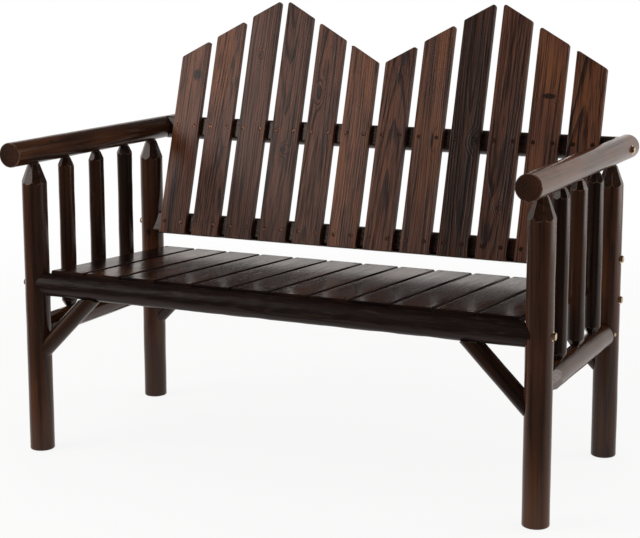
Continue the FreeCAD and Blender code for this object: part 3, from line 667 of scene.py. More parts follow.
class BENCH_OT_arms(bpy.types.Operator):
    """Build the two arms, logs that lie on the legs"""

    bl_idname = "bench.arms"
    bl_label = "Arms"

    def execute(self, context):
        sizes = context.scene.bench_logs
        low, high = box("arm_left")
        length = high.y - low.y
        blank = round_log("arm_blank", ARM_RADIUS, length, sizes.sides, sizes.ring_step)
        edit(blank)
        ends = (0, length)
        pick(blank, "edges", lambda edge: way_share(edge, 2) < ACROSS
             and min(abs(edge.verts[0].co.z - end) for end in ends) < sizes.arris)
        bevel_marking_wear_and_glint(blank, sizes.end_bevel, ROUNDING_STEPS["arm_end"])
        close_edit()
        for side in SIDES:
            luck = luck_of("arm", SIDES[side])
            start = Vector((leg_middle("front", side).x, low.y, middle(f"arm_{side}").z))
            placement = lay_along(start, Y_AXIS, luck.uniform(0, math.pi))
            arm = copy_piece(blank, f"arm_{side}")
            settle(arm, placement)
            hollow(arm, "arm_hollows", sizes.unevenness)
            outward = X_AXIS * SIDES[side]
            end = back_rail_axis("upper") + outward * HALF_SPACING
            spot_face(arm, end, outward, ARM_RADIUS, sizes)
            # The right arm's lighter tone is partly a painted sheen
            log_wood(arm, placement, luck, (ARM_TONES_AND_SHEEN[side], ARM_WARMTH))
            hand_over(arm, f"arm_{side}", "log", WHITTLED)
        throw_away(blank)
        return {"FINISHED"}


class BENCH_OT_spindles(bpy.types.Operator):
    """Build the six spindles between side rails and arms"""

    bl_idname = "bench.spindles"
    bl_label = "Spindles"

    def execute(self, context):
        sizes = context.scene.bench_logs
        radius = half_width("spindle_left_1", 0)
        low, high = box("spindle_left_1")
        foot = box("side_rail_left")[1].z
        length = LEG_TOP - foot
        for number in range(SPINDLES * len(SIDES)):
            side = tuple(SIDES)[number // SPINDLES]
            place = number % SPINDLES + 1
            luck = luck_of("spindle", number)
            node = f"spindle_{side}_{place}"
            spindle = round_log(node, radius, length, sizes.thin_sides, sizes.ring_step)
            shape_ends(spindle, radius, length, sizes.spindle_tenon_radius,
                       (sizes.spindle_foot_taper, sizes.spindle_top_taper),
                       (foot - low.z, high.z - LEG_TOP), sizes, luck)
            start = Vector((middle(node).x, middle(node).y, foot))
            placement = lay_along(start, Z_AXIS, luck.uniform(0, math.pi))
            settle(spindle, placement)
            hollow(spindle, "spindle_hollows", sizes.unevenness)
            log_wood(spindle, placement, luck, look_of("spindle", luck))
            hand_over(spindle, node, "log", SLENDER)
        return {"FINISHED"}


class BENCH_OT_side_rails(bpy.types.Operator):
    """Build the two side rails, whittled to a tenon at each end"""

    bl_idname = "bench.side_rails"
    bl_label = "Side rails"

    def execute(self, context):
        sizes = context.scene.bench_logs
        for number, side in enumerate(SIDES):
            luck = luck_of("side_rail", number)
            node = f"side_rail_{side}"
            radius = half_width(node, 2)
            low, high = box(node)
            front = LEG_PLANES["front"] + LEG_RADIUS
            length = LEG_PLANES["rear"] - LEG_RADIUS - front
            rail = round_log(node, radius, length, sizes.sides, sizes.ring_step)
            shape_ends(rail, radius, length, sizes.rail_tenon_radius,
                       (sizes.rail_front_taper, sizes.rail_rear_taper),
                       (front - low.y, high.y - front - length), sizes, luck)
            placement = lay_along(Vector((middle(node).x, front, middle(node).z)), Y_AXIS, luck.uniform(0, 1))
            settle(rail, placement)
            hollow(rail, "side_rail_hollows", sizes.unevenness)
            log_wood(rail, placement, luck, look_of("side_rail", luck))
            hand_over(rail, node, "log", WHITTLED)
        return {"FINISHED"}


def cross_log(context, node, radius, axis, luck, fineness=1):
    """A log across the bench as long as its CAD node, and the placement it was laid by."""
    sizes = context.scene.bench_logs
    low, high = box(node)
    start = Vector((low.x, axis.y, axis.z))
    log = round_log(node, radius, high.x - low.x, sizes.sides, sizes.ring_step / fineness)
    placement = lay_along(start, X_AXIS, luck.uniform(0, math.pi))
    settle(log, placement)
    hollow(log, "rail_hollows", sizes.unevenness)
    return log, placement


def cope(piece, points, way, radius):
    """Hollows a piece to fit round the logs that it meets."""
    for point in points:
        reach = CUTTER_REACH * radius
        carve(piece, bar_cutter(point - way * reach, way, radius, 2 * reach))


def plane_flat(piece, place, normal):
    """Planes a piece flat on one side."""
    edit(piece)
    slice_off(place, normal)
    close_edit()


class BENCH_OT_seat_rails(bpy.types.Operator):
    """Build the two seat rails, cut down to a bed for the seat slats"""

    bl_idname = "bench.seat_rails"
    bl_label = "Seat rails"

    def execute(self, context):
        sizes = context.scene.bench_logs
        underside, up = seat_plane(context)
        for number, row in enumerate(ROWS):
            luck = luck_of("seat_rail", number)
            node = f"seat_rail_{row}"
            axis = seat_rail_axis(row)
            log, placement = cross_log(context, node, RAIL_RADII[row], axis, luck, 2 if row == "front" else 1)
            if row == "front":
                stretch = Matrix.Diagonal((sizes.bark_stretch, 1, 1, 1))
                settle(log, stretch.inverted())
                hollow(log, "bark_hollows", sizes.bark_depth)
                hollow(log, "bark_grain", sizes.bark_grain)
                settle(log, stretch)
                for sign in SIDES.values():
                    end = sign * (HALF_SPACING - sizes.rail_end_trim)
                    plane_flat(log, (end, 0, 0), (sign, 0, 0))
                for cutter in (self.ledge_cutter(context, axis), self.bed_cutter(context)):
                    carve(log, cutter)
            else:
                plane_flat(log, underside, up)
            points = [axis + X_AXIS * sign * HALF_SPACING for sign in SIDES.values()]
            cope(log, points, Z_AXIS, LEG_RADIUS + sizes.gap)
            log_wood(log, placement, luck, (SEAT_RAIL_TONES[row], 0.0))
            if row == "front":
                bark = [self.bark_share(context, axis, face) for face in log.data.polygons]
                mark_faces(log.data, "bark", bark)
            hand_over(log, node, "rail", COPED)
        return {"FINISHED"}

    def bark_share(self, context, axis, face):
        """One where the front rail keeps its rough outside, and zero where it was cut smooth."""
        sizes = context.scene.bench_logs
        reach = math.hypot(face.center.y - axis.y - sizes.ledge_depth, face.center.z - axis.z)
        cut_smooth = abs(reach - RAIL_RADII["front"]) < 2 * sizes.gap and face.normal.z < CUT_FACE
        return 0.0 if cut_smooth else 1.0

    def bed_cutter(self, context):
        """What is cut out of the front rail under and behind the slats' front ends."""
        sizes = context.scene.bench_logs
        along = seat_lines(context)[1]
        underside, up = seat_plane(context)
        turn = Matrix((X_AXIS, along, up)).transposed().to_4x4()
        reach = CUTTER_REACH * LEG_RADIUS
        start = Matrix.Translation(underside - along * sizes.gap)
        middle_of_bed = Matrix.Translation((0, reach / 2, reach / 2))
        size = Matrix.Diagonal((2 * HALF_SPACING, reach, reach, 1))
        return block("bed_cutter", start @ turn @ middle_of_bed @ size)

    def ledge_cutter(self, context, axis):
        """What is cut away under the wavy ledge along the front rail's face."""
        sizes = context.scene.bench_logs
        radius = RAIL_RADII["front"]
        place = Matrix.Translation((0, axis.y - radius, axis.z - sizes.ledge_drop - radius))
        size = Matrix.Diagonal((2 * HALF_SPACING, 2 * radius, 2 * radius, 1))
        cutter = block("ledge_cutter", place @ size)
        edit(cutter)
        cut_rings(cutter, 0, LEDGE_CUTS)
        close_edit()
        apply_clouds(cutter, "ledge_waves", LEDGE_WAVE, 3, direction="Z", strength=sizes.ledge_waves)
        start = Vector((-HALF_SPACING * 2, axis.y + sizes.ledge_depth, axis.z))
        carve(cutter, bar_cutter(start, X_AXIS, radius, HALF_SPACING * 4))
        return cutter


class BENCH_OT_back_rails(bpy.types.Operator):
    """Build the two back rails, planed flat where the back slats lie on them"""

    bl_idname = "bench.back_rails"
    bl_label = "Back rails"

    def execute(self, context):
        sizes = context.scene.bench_logs
        boards = context.scene.bench_boards
        foot, _, rearward = back_lines(context)
        for number, level in enumerate(("lower", "upper")):
            luck = luck_of("back_rail", number)
            node = f"back_rail_{level}"
            axis = back_rail_axis(level)
            log, placement = cross_log(context, node, BACK_RAIL_RADIUS, axis, luck)
            plane_flat(log, foot + rearward * boards.back_thickness, -rearward)
            post = (LEG_RADIUS, Z_AXIS) if level == "lower" else (ARM_RADIUS, Y_AXIS)
            points = [axis + X_AXIS * sign * HALF_SPACING for sign in SIDES.values()]
            cope(log, points, post[1], post[0] + sizes.gap)
            log_wood(log, placement, luck, BACK_RAIL_LOOK)
            hand_over(log, node, "log", COPED)
        return {"FINISHED"}


class BENCH_OT_braces(bpy.types.Operator):
    """Build the four braces, short slanted logs coped to leg and rail"""

    bl_idname = "bench.braces"
    bl_label = "Braces"

    def execute(self, context):
        sizes = context.scene.bench_logs
        for number, (row, side) in enumerate((row, side) for row in ROWS for side in SIDES):
            luck = luck_of("brace", number)
            rail = seat_rail_axis(row)
            sign = SIDES[side]
            low = Vector((sign * HALF_SPACING, rail.y, rail.z - sizes.brace_reach))
            high = Vector((sign * (HALF_SPACING - sizes.brace_reach), rail.y, rail.z))
            length = (high - low).length
            brace = round_log(f"brace_{row}_{side}", sizes.brace_radius, length, sizes.thin_sides,
                              sizes.ring_step)
            placement = lay_along(low, (high - low).normalized(), luck.uniform(0, math.pi))
            settle(brace, placement)
            hollow(brace, "brace_hollows", sizes.unevenness)
            cope(brace, [leg_middle(row, side) + Z_AXIS * low.z], Z_AXIS, LEG_RADIUS + sizes.gap)
            cope(brace, [high], X_AXIS, RAIL_RADII[row] + sizes.gap)
            log_wood(brace, placement, luck, look_of("brace", luck))
            hand_over(brace, f"brace_{row}_{side}", "log", COPED)
        return {"FINISHED"}


# Boards
def back_lines(context):
    """The foot of the back's front face, and the directions up it and square behind it."""
    sizes = context.scene.bench_boards
    up = Vector((0, math.sin(sizes.recline), math.cos(sizes.recline)))
    rearward = Vector((0, math.cos(sizes.recline), -math.sin(sizes.recline)))
    behind = sizes.back_thickness + BACK_RAIL_RADIUS - sizes.back_flat_depth
    foot = back_rail_axis("lower") - up * sizes.back_tail - rearward * behind
    return foot, up, rearward


def seat_plane(context):
    """A point in the seat slats' underside and the direction square to it."""
    sizes = context.scene.bench_boards
    corner, _, up, _ = seat_lines(context)
    return corner - up * sizes.seat_thickness, up


def seat_lines(context):
    """The seat's upper front edge, its directions to the rear and up, and its slats' length."""
    sizes = context.scene.bench_boards
    fall = sizes.seat_front_height - sizes.seat_rear_height
    slope = math.asin(fall / seat_slat_length(context, fall))
    along = Vector((0, math.cos(slope), -math.sin(slope)))
    up = Vector((0, math.sin(slope), math.cos(slope)))
    low = box("seat_slat_01")[0]
    front = low.y + sizes.seat_thickness * math.sin(slope)
    return Vector((0, front, sizes.seat_front_height)), along, up, seat_slat_length(context, fall)


def seat_slat_length(context, fall):
    """Length of a seat slat, from its box and how far it falls."""
    sizes = context.scene.bench_boards
    low, high = box("seat_slat_01")
    run = high.y - low.y - sizes.seat_thickness * fall / (high.y - low.y)
    return math.hypot(run, fall)


def plank(name, width, thickness, length, cuts):
    """A board blank along Z from the origin, its face at Y = 0."""
    place = Matrix.Translation((0, thickness / 2, length / 2))
    piece = block(name, place @ Matrix.Diagonal((width, thickness, length, 1)))
    edit(piece)
    cut_rings(piece, 2, cuts)
    cut_rings(piece, 0, CUTS_ACROSS)
    close_edit()
    return piece


def screw_cutters(context, spread, reaches):
    """Cutters for a board's countersunk screw holes, for a board with its face at Y = 0."""
    sizes = context.scene.bench_boards
    head = sizes.screw_head_radius
    shank = sizes.screw_radius
    proud = head / SCREW_PROUD
    cutters = []
    for reach in reaches:
        for sign in SIDES.values():
            depth = head + proud - shank
            bpy.ops.mesh.primitive_cone_add(vertices=SCREW_SIDES, radius1=head + proud, radius2=shank,
                                            depth=depth, location=(0, 0, depth / 2 - proud))
            cutter = start_piece("screw_cutter")
            settle(cutter, cutter.matrix_world.copy())
            edit(cutter)
            pick(cutter, "faces", lambda face: face.normal.z > ALONG)
            bpy.ops.mesh.extrude_region_move(TRANSFORM_OT_translate={"value": (0, 0, SCREW_REACH * shank)})
            close_edit()
            settle(cutter, lay_along(Vector((sign * spread, 0, reach)), Y_AXIS, 0))
            cutters.append(cutter)
    return join(cutters)


def back_side_length(context, number, sign):
    """How long one side of a back slat is, counted from one at the left."""
    sizes = context.scene.bench_boards
    place = (number - 1) % SLATS_PER_PEAK + 0.5
    reach = place * sizes.back_pitch + sign * sizes.back_width / 2
    if place > SLATS_PER_PEAK / 2:
        reach = SLATS_PER_PEAK * sizes.back_pitch - reach
    return sizes.back_outer_length + reach * math.tan(sizes.peak_slope)


# Chosen knots of the back slats, by number: place across and up the slat as shares of its width and of the
# outer length, then half the knot's width and half its height in metres
KNOTS = {1: (0.17, 0.91, 0.009, 0.011), 3: (-0.04, 1.03, 0.003, 0.006), 4: (0.01, 0.51, 0.005, 0.006),
         5: (-0.18, 0.83, 0.004, 0.012), 8: (0.16, 0.60, 0.003, 0.016), 9: (0.26, 0.61, 0.006, 0.010),
         10: (0.04, 0.27, 0.004, 0.005), 11: (0.04, 0.86, 0.013, 0.005)}
# Tone, from dark to light, and warmth of each back slat, from the first to the last
BACK_LOOKS = ((0.66, 0.3), (0.54, 0.8), (0.43, 0.2), (0.45, 0.1), (0.57, 0.2), (0.58, 0.9),
              (0.47, 0.5), (0.45, 0.7), (0.08, 0.4), (0.40, 0.2), (0.50, 0.8), (0.34, 1.0))


def board_wood(piece, placement, luck, look, knot=None):
    """Gives a board its place in the trunk: the pith passes in front of or behind it."""
    pith = Vector((luck.uniform(-PITH_ASIDE, PITH_ASIDE), luck.choice((-1, 1)) * luck.uniform(*PITH_DEPTHS),
                   luck.uniform(-TRUNK_REACH, TRUNK_REACH)))
    lean = Vector([luck.uniform(-slant, slant) for slant in PITH_SLANTS])
    mark_wood(piece, placement, pith, lean, look, knot, True)


class BENCH_OT_back_boards(bpy.types.Operator):
    """Build the twelve back slats, whose tops rise to two peaks"""

    bl_idname = "bench.back_boards"
    bl_label = "Back slats"

    def execute(self, context):
        sizes = context.scene.bench_boards
        foot, up, _ = back_lines(context)
        half = sizes.back_width / 2
        tallest = back_side_length(context, SLATS_PER_PEAK // 2, 1)
        blank = plank("back_blank", sizes.back_width, sizes.back_thickness, tallest + sizes.back_tail,
                      BACK_CUTS)
        upper_reach = (back_rail_axis("upper") - foot).dot(up)
        cutters = screw_cutters(context, sizes.back_screw_spread, (sizes.back_tail, upper_reach))
        turn = Matrix.Rotation(-sizes.recline, 4, "X")
        for number in range(1, SLATS + 1):
            luck = luck_of("back_slat", number)
            node = f"back_slat_{number:02d}"
            slat = copy_piece(blank, node)
            left = back_side_length(context, number, -1)
            right = back_side_length(context, number, 1)
            slope = Vector((2 * half, 0, right - left)).normalized()
            top_normal = Vector((-slope.z, 0, slope.x))
            edit(slat)
            slice_off((-half, 0, left), top_normal)
            self.round_top(slat, half, left, right, sizes)
            pick_sharp(BOARD_CORNER)
            bevel_marking_wear_and_glint(slat, sizes.back_edge, ROUNDING_STEPS["rim"])
            close_edit()
            hollow(slat, "back_hollows", sizes.unevenness)
            cut_away(slat, cutters)
            x = (number - (SLATS + 1) / 2) * sizes.back_pitch
            placement = Matrix.Translation(foot + X_AXIS * x) @ turn
            settle(slat, placement)
            knot = None
            if number in KNOTS:
                across, along, wide, high = KNOTS[number]
                centre = Vector((across * sizes.back_width, 0, along * sizes.back_outer_length))
                knot = Matrix.Diagonal((1 / wide, 0, 1 / high, 1)) @ Matrix.Translation(-centre)
            board_wood(slat, placement, luck, BACK_LOOKS[number - 1], knot)
            hand_over(slat, node, "back", SAWN)
        throw_away(blank, cutters)
        return {"FINISHED"}

    def round_top(self, slat, half, left, right, sizes):
        """Rounds the two top corners."""
        near = sizes.back_edge / 4
        rise = math.atan2(right - left, 2 * half)
        for side, top, turn in ((-1, left, math.pi / 2 - rise), (1, right, math.pi / 2 + rise)):
            pick(slat, "edges", lambda edge: all(abs(vertex.co.x - side * half) < near
                                                 and abs(vertex.co.z - top) < near for vertex in edge.verts))
            reach = sizes.corner_rounding * math.tan(turn / 2)
            bpy.ops.mesh.bevel(offset=reach, segments=ROUNDING_STEPS["corner"], affect="EDGES",
                               clamp_overlap=False)


class BENCH_OT_seat_boards(bpy.types.Operator):
    """Build the twelve seat slats with rounded upper edges"""

    bl_idname = "bench.seat_boards"
    bl_label = "Seat slats"

    def execute(self, context):
        sizes = context.scene.bench_boards
        corner, along, up, length = seat_lines(context)
        width = 2 * half_width("seat_slat_01", 0)
        blank = plank("seat_blank", width, sizes.seat_thickness, length, SEAT_CUTS)
        edit(blank)
        face_side = sizes.seat_thickness / 8
        pick(blank, "edges", lambda edge: way_share(edge, 2) > ALONG and edge.verts[0].co.y < face_side
             and abs(abs(edge.verts[0].co.x) - width / 2) < face_side)
        bevel_marking_wear_and_glint(blank, sizes.seat_side_rounding, ROUNDING_STEPS["seat_side"])
        pick_sharp(BOARD_CORNER)
        bevel_marking_wear_and_glint(blank, sizes.seat_end_rounding, ROUNDING_STEPS["rim"])
        close_edit()
        reaches = (sizes.seat_screw_inset, length - sizes.seat_screw_inset)
        cutters = screw_cutters(context, sizes.seat_screw_spread, reaches)
        carve(blank, cutters)
        across = up.cross(along)
        turn = Matrix((-across, -up, along)).transposed().to_4x4()
        for number in range(1, SLATS + 1):
            luck = luck_of("seat_slat", number)
            node = f"seat_slat_{number:02d}"
            slat = copy_piece(blank, node)
            placement = Matrix.Translation(corner + X_AXIS * middle(node).x) @ turn
            settle(slat, placement)
            hollow(slat, "seat_hollows", sizes.seat_unevenness)
            board_wood(slat, placement, luck, look_of("seat_slat", luck))
            hand_over(slat, node, "seat", SAWN)
        throw_away(blank)
        return {"FINISHED"}


# Finishes
def node_group(name, inputs, outputs):
    """An empty shader group with named sockets, what it is given and what it gives back."""
    group = bpy.data.node_groups.new(name, "ShaderNodeTree")
    for word, kind in inputs:
        group.interface.new_socket(name=word, in_out="INPUT", socket_type=kind)
    for word, kind in outputs:
        group.interface.new_socket(name=word, in_out="OUTPUT", socket_type=kind)
    given = group.nodes.new("NodeGroupInput").outputs
    return Bench(group), given, group.nodes.new("NodeGroupOutput").inputs


FLOAT = "NodeSocketFloat"
VECTOR = "NodeSocketVector"
COLOR = "NodeSocketColor"


class Bench:
    """Short ways to add and wire the nodes of one tree."""

    def __init__(self, tree):
        self.tree = tree

    def add(self, kind, **settings):
        """A node with its settings."""
        node = self.tree.nodes.new(kind)
        for word, value in settings.items():
            setattr(node, word, value)
        return node

    def feed(self, socket, value):
        """Links a socket to another, or sets it to a plain value."""
        if isinstance(value, bpy.types.NodeSocket):
            self.tree.links.new(value, socket)
        else:
            socket.default_value = value

    def wire(self, node, values):
        """Feeds several inputs of a node, each by its name."""
        for word, value in values.items():
            self.feed(node.inputs[word], value)

    def math(self, operation, first, second=0.0, third=0.0):
        """The result of a calculation with up to three numbers."""
        node = self.add("ShaderNodeMath", operation=operation)
        for socket, value in zip(node.inputs, (first, second, third)):
            self.feed(socket, value)
        return node.outputs[0]

    def times(self, first, second):
        """A product."""
        return self.math("MULTIPLY", first, second)

    def times_plus(self, first, second, third):
        """A product with a third number added."""
        return self.math("MULTIPLY_ADD", first, second, third)

    def vary(self, value, pattern, amount):
        """A value that swings with a pattern about the pattern's middle."""
        return self.times_plus(self.math("SUBTRACT", pattern, 0.5), amount, value)

    def vector(self, operation, first, second=(0, 0, 0)):
        """The result of a calculation with one vector or two."""
        node = self.add("ShaderNodeVectorMath", operation=operation)
        self.feed(node.inputs[0], first)
        self.feed(node.inputs[1], second)
        return node.outputs["Value" if operation in ("LENGTH", "DOT_PRODUCT") else "Vector"]

    def ramp(self, value, low, high, start=0.0, end=1.0):
        """A soft step from start to end while a value goes from low to high."""
        node = self.add("ShaderNodeMapRange", interpolation_type="SMOOTHSTEP")
        self.wire(node, {"Value": value, "From Min": low, "From Max": high, "To Min": start, "To Max": end})
        return node.outputs["Result"]

    def noise(self, place, stretch, detail=2.0, roughness=0.5):
        """Noise over a place that is stretched first."""
        node = self.add("ShaderNodeTexNoise", noise_dimensions="3D")
        stretched = self.vector("MULTIPLY", place, stretch)
        self.wire(node, {"Vector": stretched, "Scale": 1.0, "Detail": detail, "Roughness": roughness})
        return node.outputs["Fac"]

    def bump(self, height, strength, depth):
        """A relief that bends the light, with its depth in metres."""
        node = self.add("ShaderNodeBump")
        self.wire(node, {"Height": height, "Strength": strength, "Distance": depth})
        return node.outputs["Normal"]

    def blend(self, amount, first, second):
        """A mix of two colours."""
        node = self.add("ShaderNodeMix", data_type="RGBA")
        self.feed(node.inputs["Factor"], amount)
        self.feed(node.inputs[6], first)
        self.feed(node.inputs[7], second)
        return node.outputs[2]


# Depths of the wood's grain and of the scratches in metal, in metres
GRAIN_DEPTH = 0.0006
SCRATCH_DEPTH = 0.0002


def opaque(color):
    """A colour with full opacity."""
    return (*color, 1.0)


# Places for a knot in each metre of a trunk, most of them empty
KNOTS_A_METRE = 24


def trunk_knots():
    """Shader group: knots scattered along a trunk, each running out from the pith."""
    if "Trunk knots" in bpy.data.node_groups:
        return bpy.data.node_groups["Trunk knots"]
    bench, given, result = node_group("Trunk knots", [("Trunk", VECTOR), ("Scarcity", FLOAT)],
                                      [("Knot", FLOAT), ("Swirl", FLOAT)])
    around = bench.vector("NORMALIZE", bench.vector("MULTIPLY", given["Trunk"], (1, 1, 0)))
    along = bench.vector("MULTIPLY", given["Trunk"], (0, 0, KNOTS_A_METRE))
    cells = bench.add("ShaderNodeTexVoronoi", voronoi_dimensions="3D", feature="F1")
    bench.feed(cells.inputs["Vector"], bench.vector("ADD", around, along))
    bench.feed(cells.inputs["Scale"], 0.9)
    pick_cell = bench.add("ShaderNodeSeparateColor")
    bench.feed(pick_cell.inputs[0], cells.outputs["Color"])
    present = bench.math("GREATER_THAN", pick_cell.outputs[0], given["Scarcity"])
    distance = cells.outputs["Distance"]
    bench.feed(result["Knot"], bench.times(bench.ramp(distance, 0.30, 0.18), present))
    bench.feed(result["Swirl"], bench.times(bench.ramp(distance, 0.62, 0.12), present))
    return bench.tree


# The noises that the wood is made of: cells a metre in each direction of the trunk, octaves and roughness
PATTERNS = {
    "sway": ((11, 11, 1.7), 2.0),
    "ripple": ((60, 60, 9), 1.0),
    "fading": ((48, 48, 1.6), 1.0),
    "streak": ((110, 110, 2.0), 3.0, 0.62),
    "smear": ((46, 46, 1.1), 2.0, 0.55),
    "thread": ((330, 330, 4.5), 2.0, 0.6),
    "cloud": ((16, 16, 2.2), 2.0),
    "fibre": ((1100, 1100, 34), 2.0, 0.6),
    "patch": ((9, 9, 3.4), 2.0),
    "ragged": ((420, 420, 160), 2.0),
    "rough": ((150, 150, 16), 5.0, 0.66),
    # The last noise makes the rubbed edges and their painted highlight patchy
    "rubbed_edge_and_glint": ((140, 140, 20), 2.0),
}


def stained_grain():
    """Shader group: growth rings, streaks, fibres and knots of stained wood, with its colour and relief."""
    if "Stained grain" in bpy.data.node_groups:
        return bpy.data.node_groups["Stained grain"]
    inputs = [("Trunk", VECTOR), ("By knot", VECTOR), ("End grain", FLOAT), ("Tone", FLOAT), ("Worn", FLOAT),
              ("Warmth", FLOAT), ("Ring width", FLOAT), ("Ring strength", FLOAT), ("Streaks", FLOAT),
              ("Scarcity", FLOAT), ("Matt", FLOAT), ("End dullness", FLOAT), ("Bark", FLOAT),
              ("Light", COLOR), ("Dark", COLOR), ("Flame", COLOR), ("Char", COLOR), ("Rim", COLOR)]
    outputs = [("Color", COLOR), ("Roughness", FLOAT), ("Relief", FLOAT)]
    bench, given, result = node_group("Stained grain", inputs, outputs)
    trunk = given["Trunk"]

    def pattern(word):
        """One of the noises that the wood is made of."""
        return bench.noise(trunk, *PATTERNS[word])

    knots = bench.add("ShaderNodeGroup", node_tree=trunk_knots())
    bench.wire(knots, {"Trunk": trunk, "Scarcity": given["Scarcity"]})
    chosen = bench.vector("LENGTH", given["By knot"])
    ragged = bench.times_plus(pattern("ragged"), 0.9, chosen)
    knot = bench.math("MAXIMUM", knots.outputs["Knot"], bench.ramp(ragged, 2.2, 1.25))
    swirl = bench.math("MAXIMUM", knots.outputs["Swirl"], bench.ramp(chosen, 4.2, 0.4))

    # Rings about the pith, which sway along the trunk and bend round each knot
    reach = bench.vector("LENGTH", bench.vector("MULTIPLY", trunk, (1, 1, 0)))
    reach = bench.vary(reach, pattern("sway"), 0.024)
    reach = bench.vary(reach, pattern("ripple"), 0.0026)
    reach = bench.times_plus(swirl, 0.011, reach)
    turns = bench.math("DIVIDE", reach, given["Ring width"])
    season = bench.math("FRACT", turns)
    late = bench.times(bench.ramp(season, 0.48, 0.82), bench.ramp(season, 1.0, 0.93))
    late = bench.times(late, bench.ramp(pattern("fading"), 0.30, 0.60, 0.2, 1.0))

    # Streaks and fibres along the trunk
    streak, smear, thread, cloud, fibre = map(pattern, ("streak", "smear", "thread", "cloud", "fibre"))
    lines = bench.math("ADD", bench.times(bench.math("SUBTRACT", streak, 0.5), 2.4),
                       bench.times(bench.ramp(thread, 0.50, 0.58), 0.5))
    depth = bench.times_plus(late, given["Ring strength"], 0.16)
    depth = bench.times_plus(lines, given["Streaks"], depth)
    depth = bench.vary(depth, smear, 1.2)
    depth = bench.vary(depth, cloud, 0.9)
    depth = bench.vary(depth, given["Tone"], -0.3)
    depth = bench.vary(depth, fibre, 0.55)
    rings = bench.times_plus(late, 0.55, 0.30)
    blunt = bench.times(given["End grain"], 0.92)
    depth = bench.times_plus(bench.math("SUBTRACT", rings, depth), blunt, depth)
    depth = bench.math("MINIMUM", bench.math("MAXIMUM", depth, 0.0), 1.0)
    color = bench.blend(depth, given["Light"], given["Dark"])
    thin = bench.times(bench.ramp(pattern("patch"), 0.42, 0.66), given["Warmth"])
    thin = bench.times(thin, bench.times_plus(depth, -0.8, 0.9))
    color = bench.blend(thin, color, given["Flame"])
    heavy = bench.ramp(bench.times_plus(smear, 0.6, streak), 0.91, 1.05)
    heavy = bench.times(heavy, bench.times(given["Streaks"], 0.8))
    side_grain = bench.math("SUBTRACT", 1.0, given["End grain"])
    for mask, share in ((heavy, side_grain), (knot, 0.93), (given["End grain"], 0.22)):
        color = bench.blend(bench.times(mask, share), color, given["Char"])
    brightness = bench.times_plus(given["Tone"], 1.2, 0.4)
    brightness = bench.times(brightness, bench.times_plus(side_grain, 0.3, 0.7))
    color = bench.vector("MULTIPLY", color, brightness)
    color = bench.blend(bench.times(given["Bark"], 0.85), color, given["Char"])
    rough = pattern("rough")
    scuffed = bench.times(given["Bark"], bench.ramp(rough, 0.50, 0.80))
    color = bench.blend(bench.times(scuffed, 0.22), color, given["Rim"])
    # Rounded crests: stain rubbed off, and a painted highlight where the varnish glints
    rubbed_edge_and_glint = bench.times(given["Worn"], bench.ramp(pattern("rubbed_edge_and_glint"), 0.35, 0.65))
    color = bench.blend(rubbed_edge_and_glint, color, given["Rim"])
    bench.feed(result["Color"], color)

    gloss = bench.vary(given["Matt"], cloud, 0.18)
    gloss = bench.vary(gloss, thread, 0.35)
    gloss = bench.times_plus(given["End grain"], given["End dullness"], gloss)
    gloss = bench.times_plus(given["Bark"], 0.06, gloss)
    bench.feed(result["Roughness"], gloss)
    relief = bench.times_plus(fibre, 0.35, bench.times(late, 0.65))
    relief = bench.times_plus(streak, 0.5, relief)
    relief = bench.times(relief, bench.times_plus(side_grain, 0.8, 0.2))
    relief = bench.times_plus(bench.times(rough, given["Bark"]), 7.0, relief)
    bench.feed(result["Relief"], relief)
    return bench.tree


def new_material(name):
    """An empty node material with its shader."""
    material = bpy.data.materials.new(name)
    material.use_nodes = True
    material.node_tree.nodes.clear()
    bench = Bench(material.node_tree)
    shader = bench.add("ShaderNodeBsdfPrincipled")
    output = bench.add("ShaderNodeOutputMaterial")
    bench.feed(output.inputs["Surface"], shader.outputs[0])
    return material, bench, shader


# What differs between the four stained woods: the grain's inputs, how strong its relief is and how glossy
WOODS = {
    "log": ({"Ring width": 0.0060, "Ring strength": 0.40, "Streaks": 0.45, "Scarcity": 0.965, "Matt": 0.20,
             "End dullness": 0.05}, 0.35, 0.25),
    "rail": ({"Ring width": 0.0060, "Ring strength": 0.40, "Streaks": 0.8, "Scarcity": 0.965, "Matt": 0.24,
              "End dullness": 0.05}, 0.35, 0.08),
    "seat": ({"Ring width": 0.0055, "Ring strength": 0.45, "Streaks": 1.0, "Scarcity": 1.0, "Matt": 0.19,
              "End dullness": 0.2}, 0.22, 0.055),
    "back": ({"Ring width": 0.0052, "Ring strength": 0.70, "Streaks": 1.2, "Scarcity": 1.0, "Matt": 0.31,
              "End dullness": 0.3}, 0.7, 0.2),
}


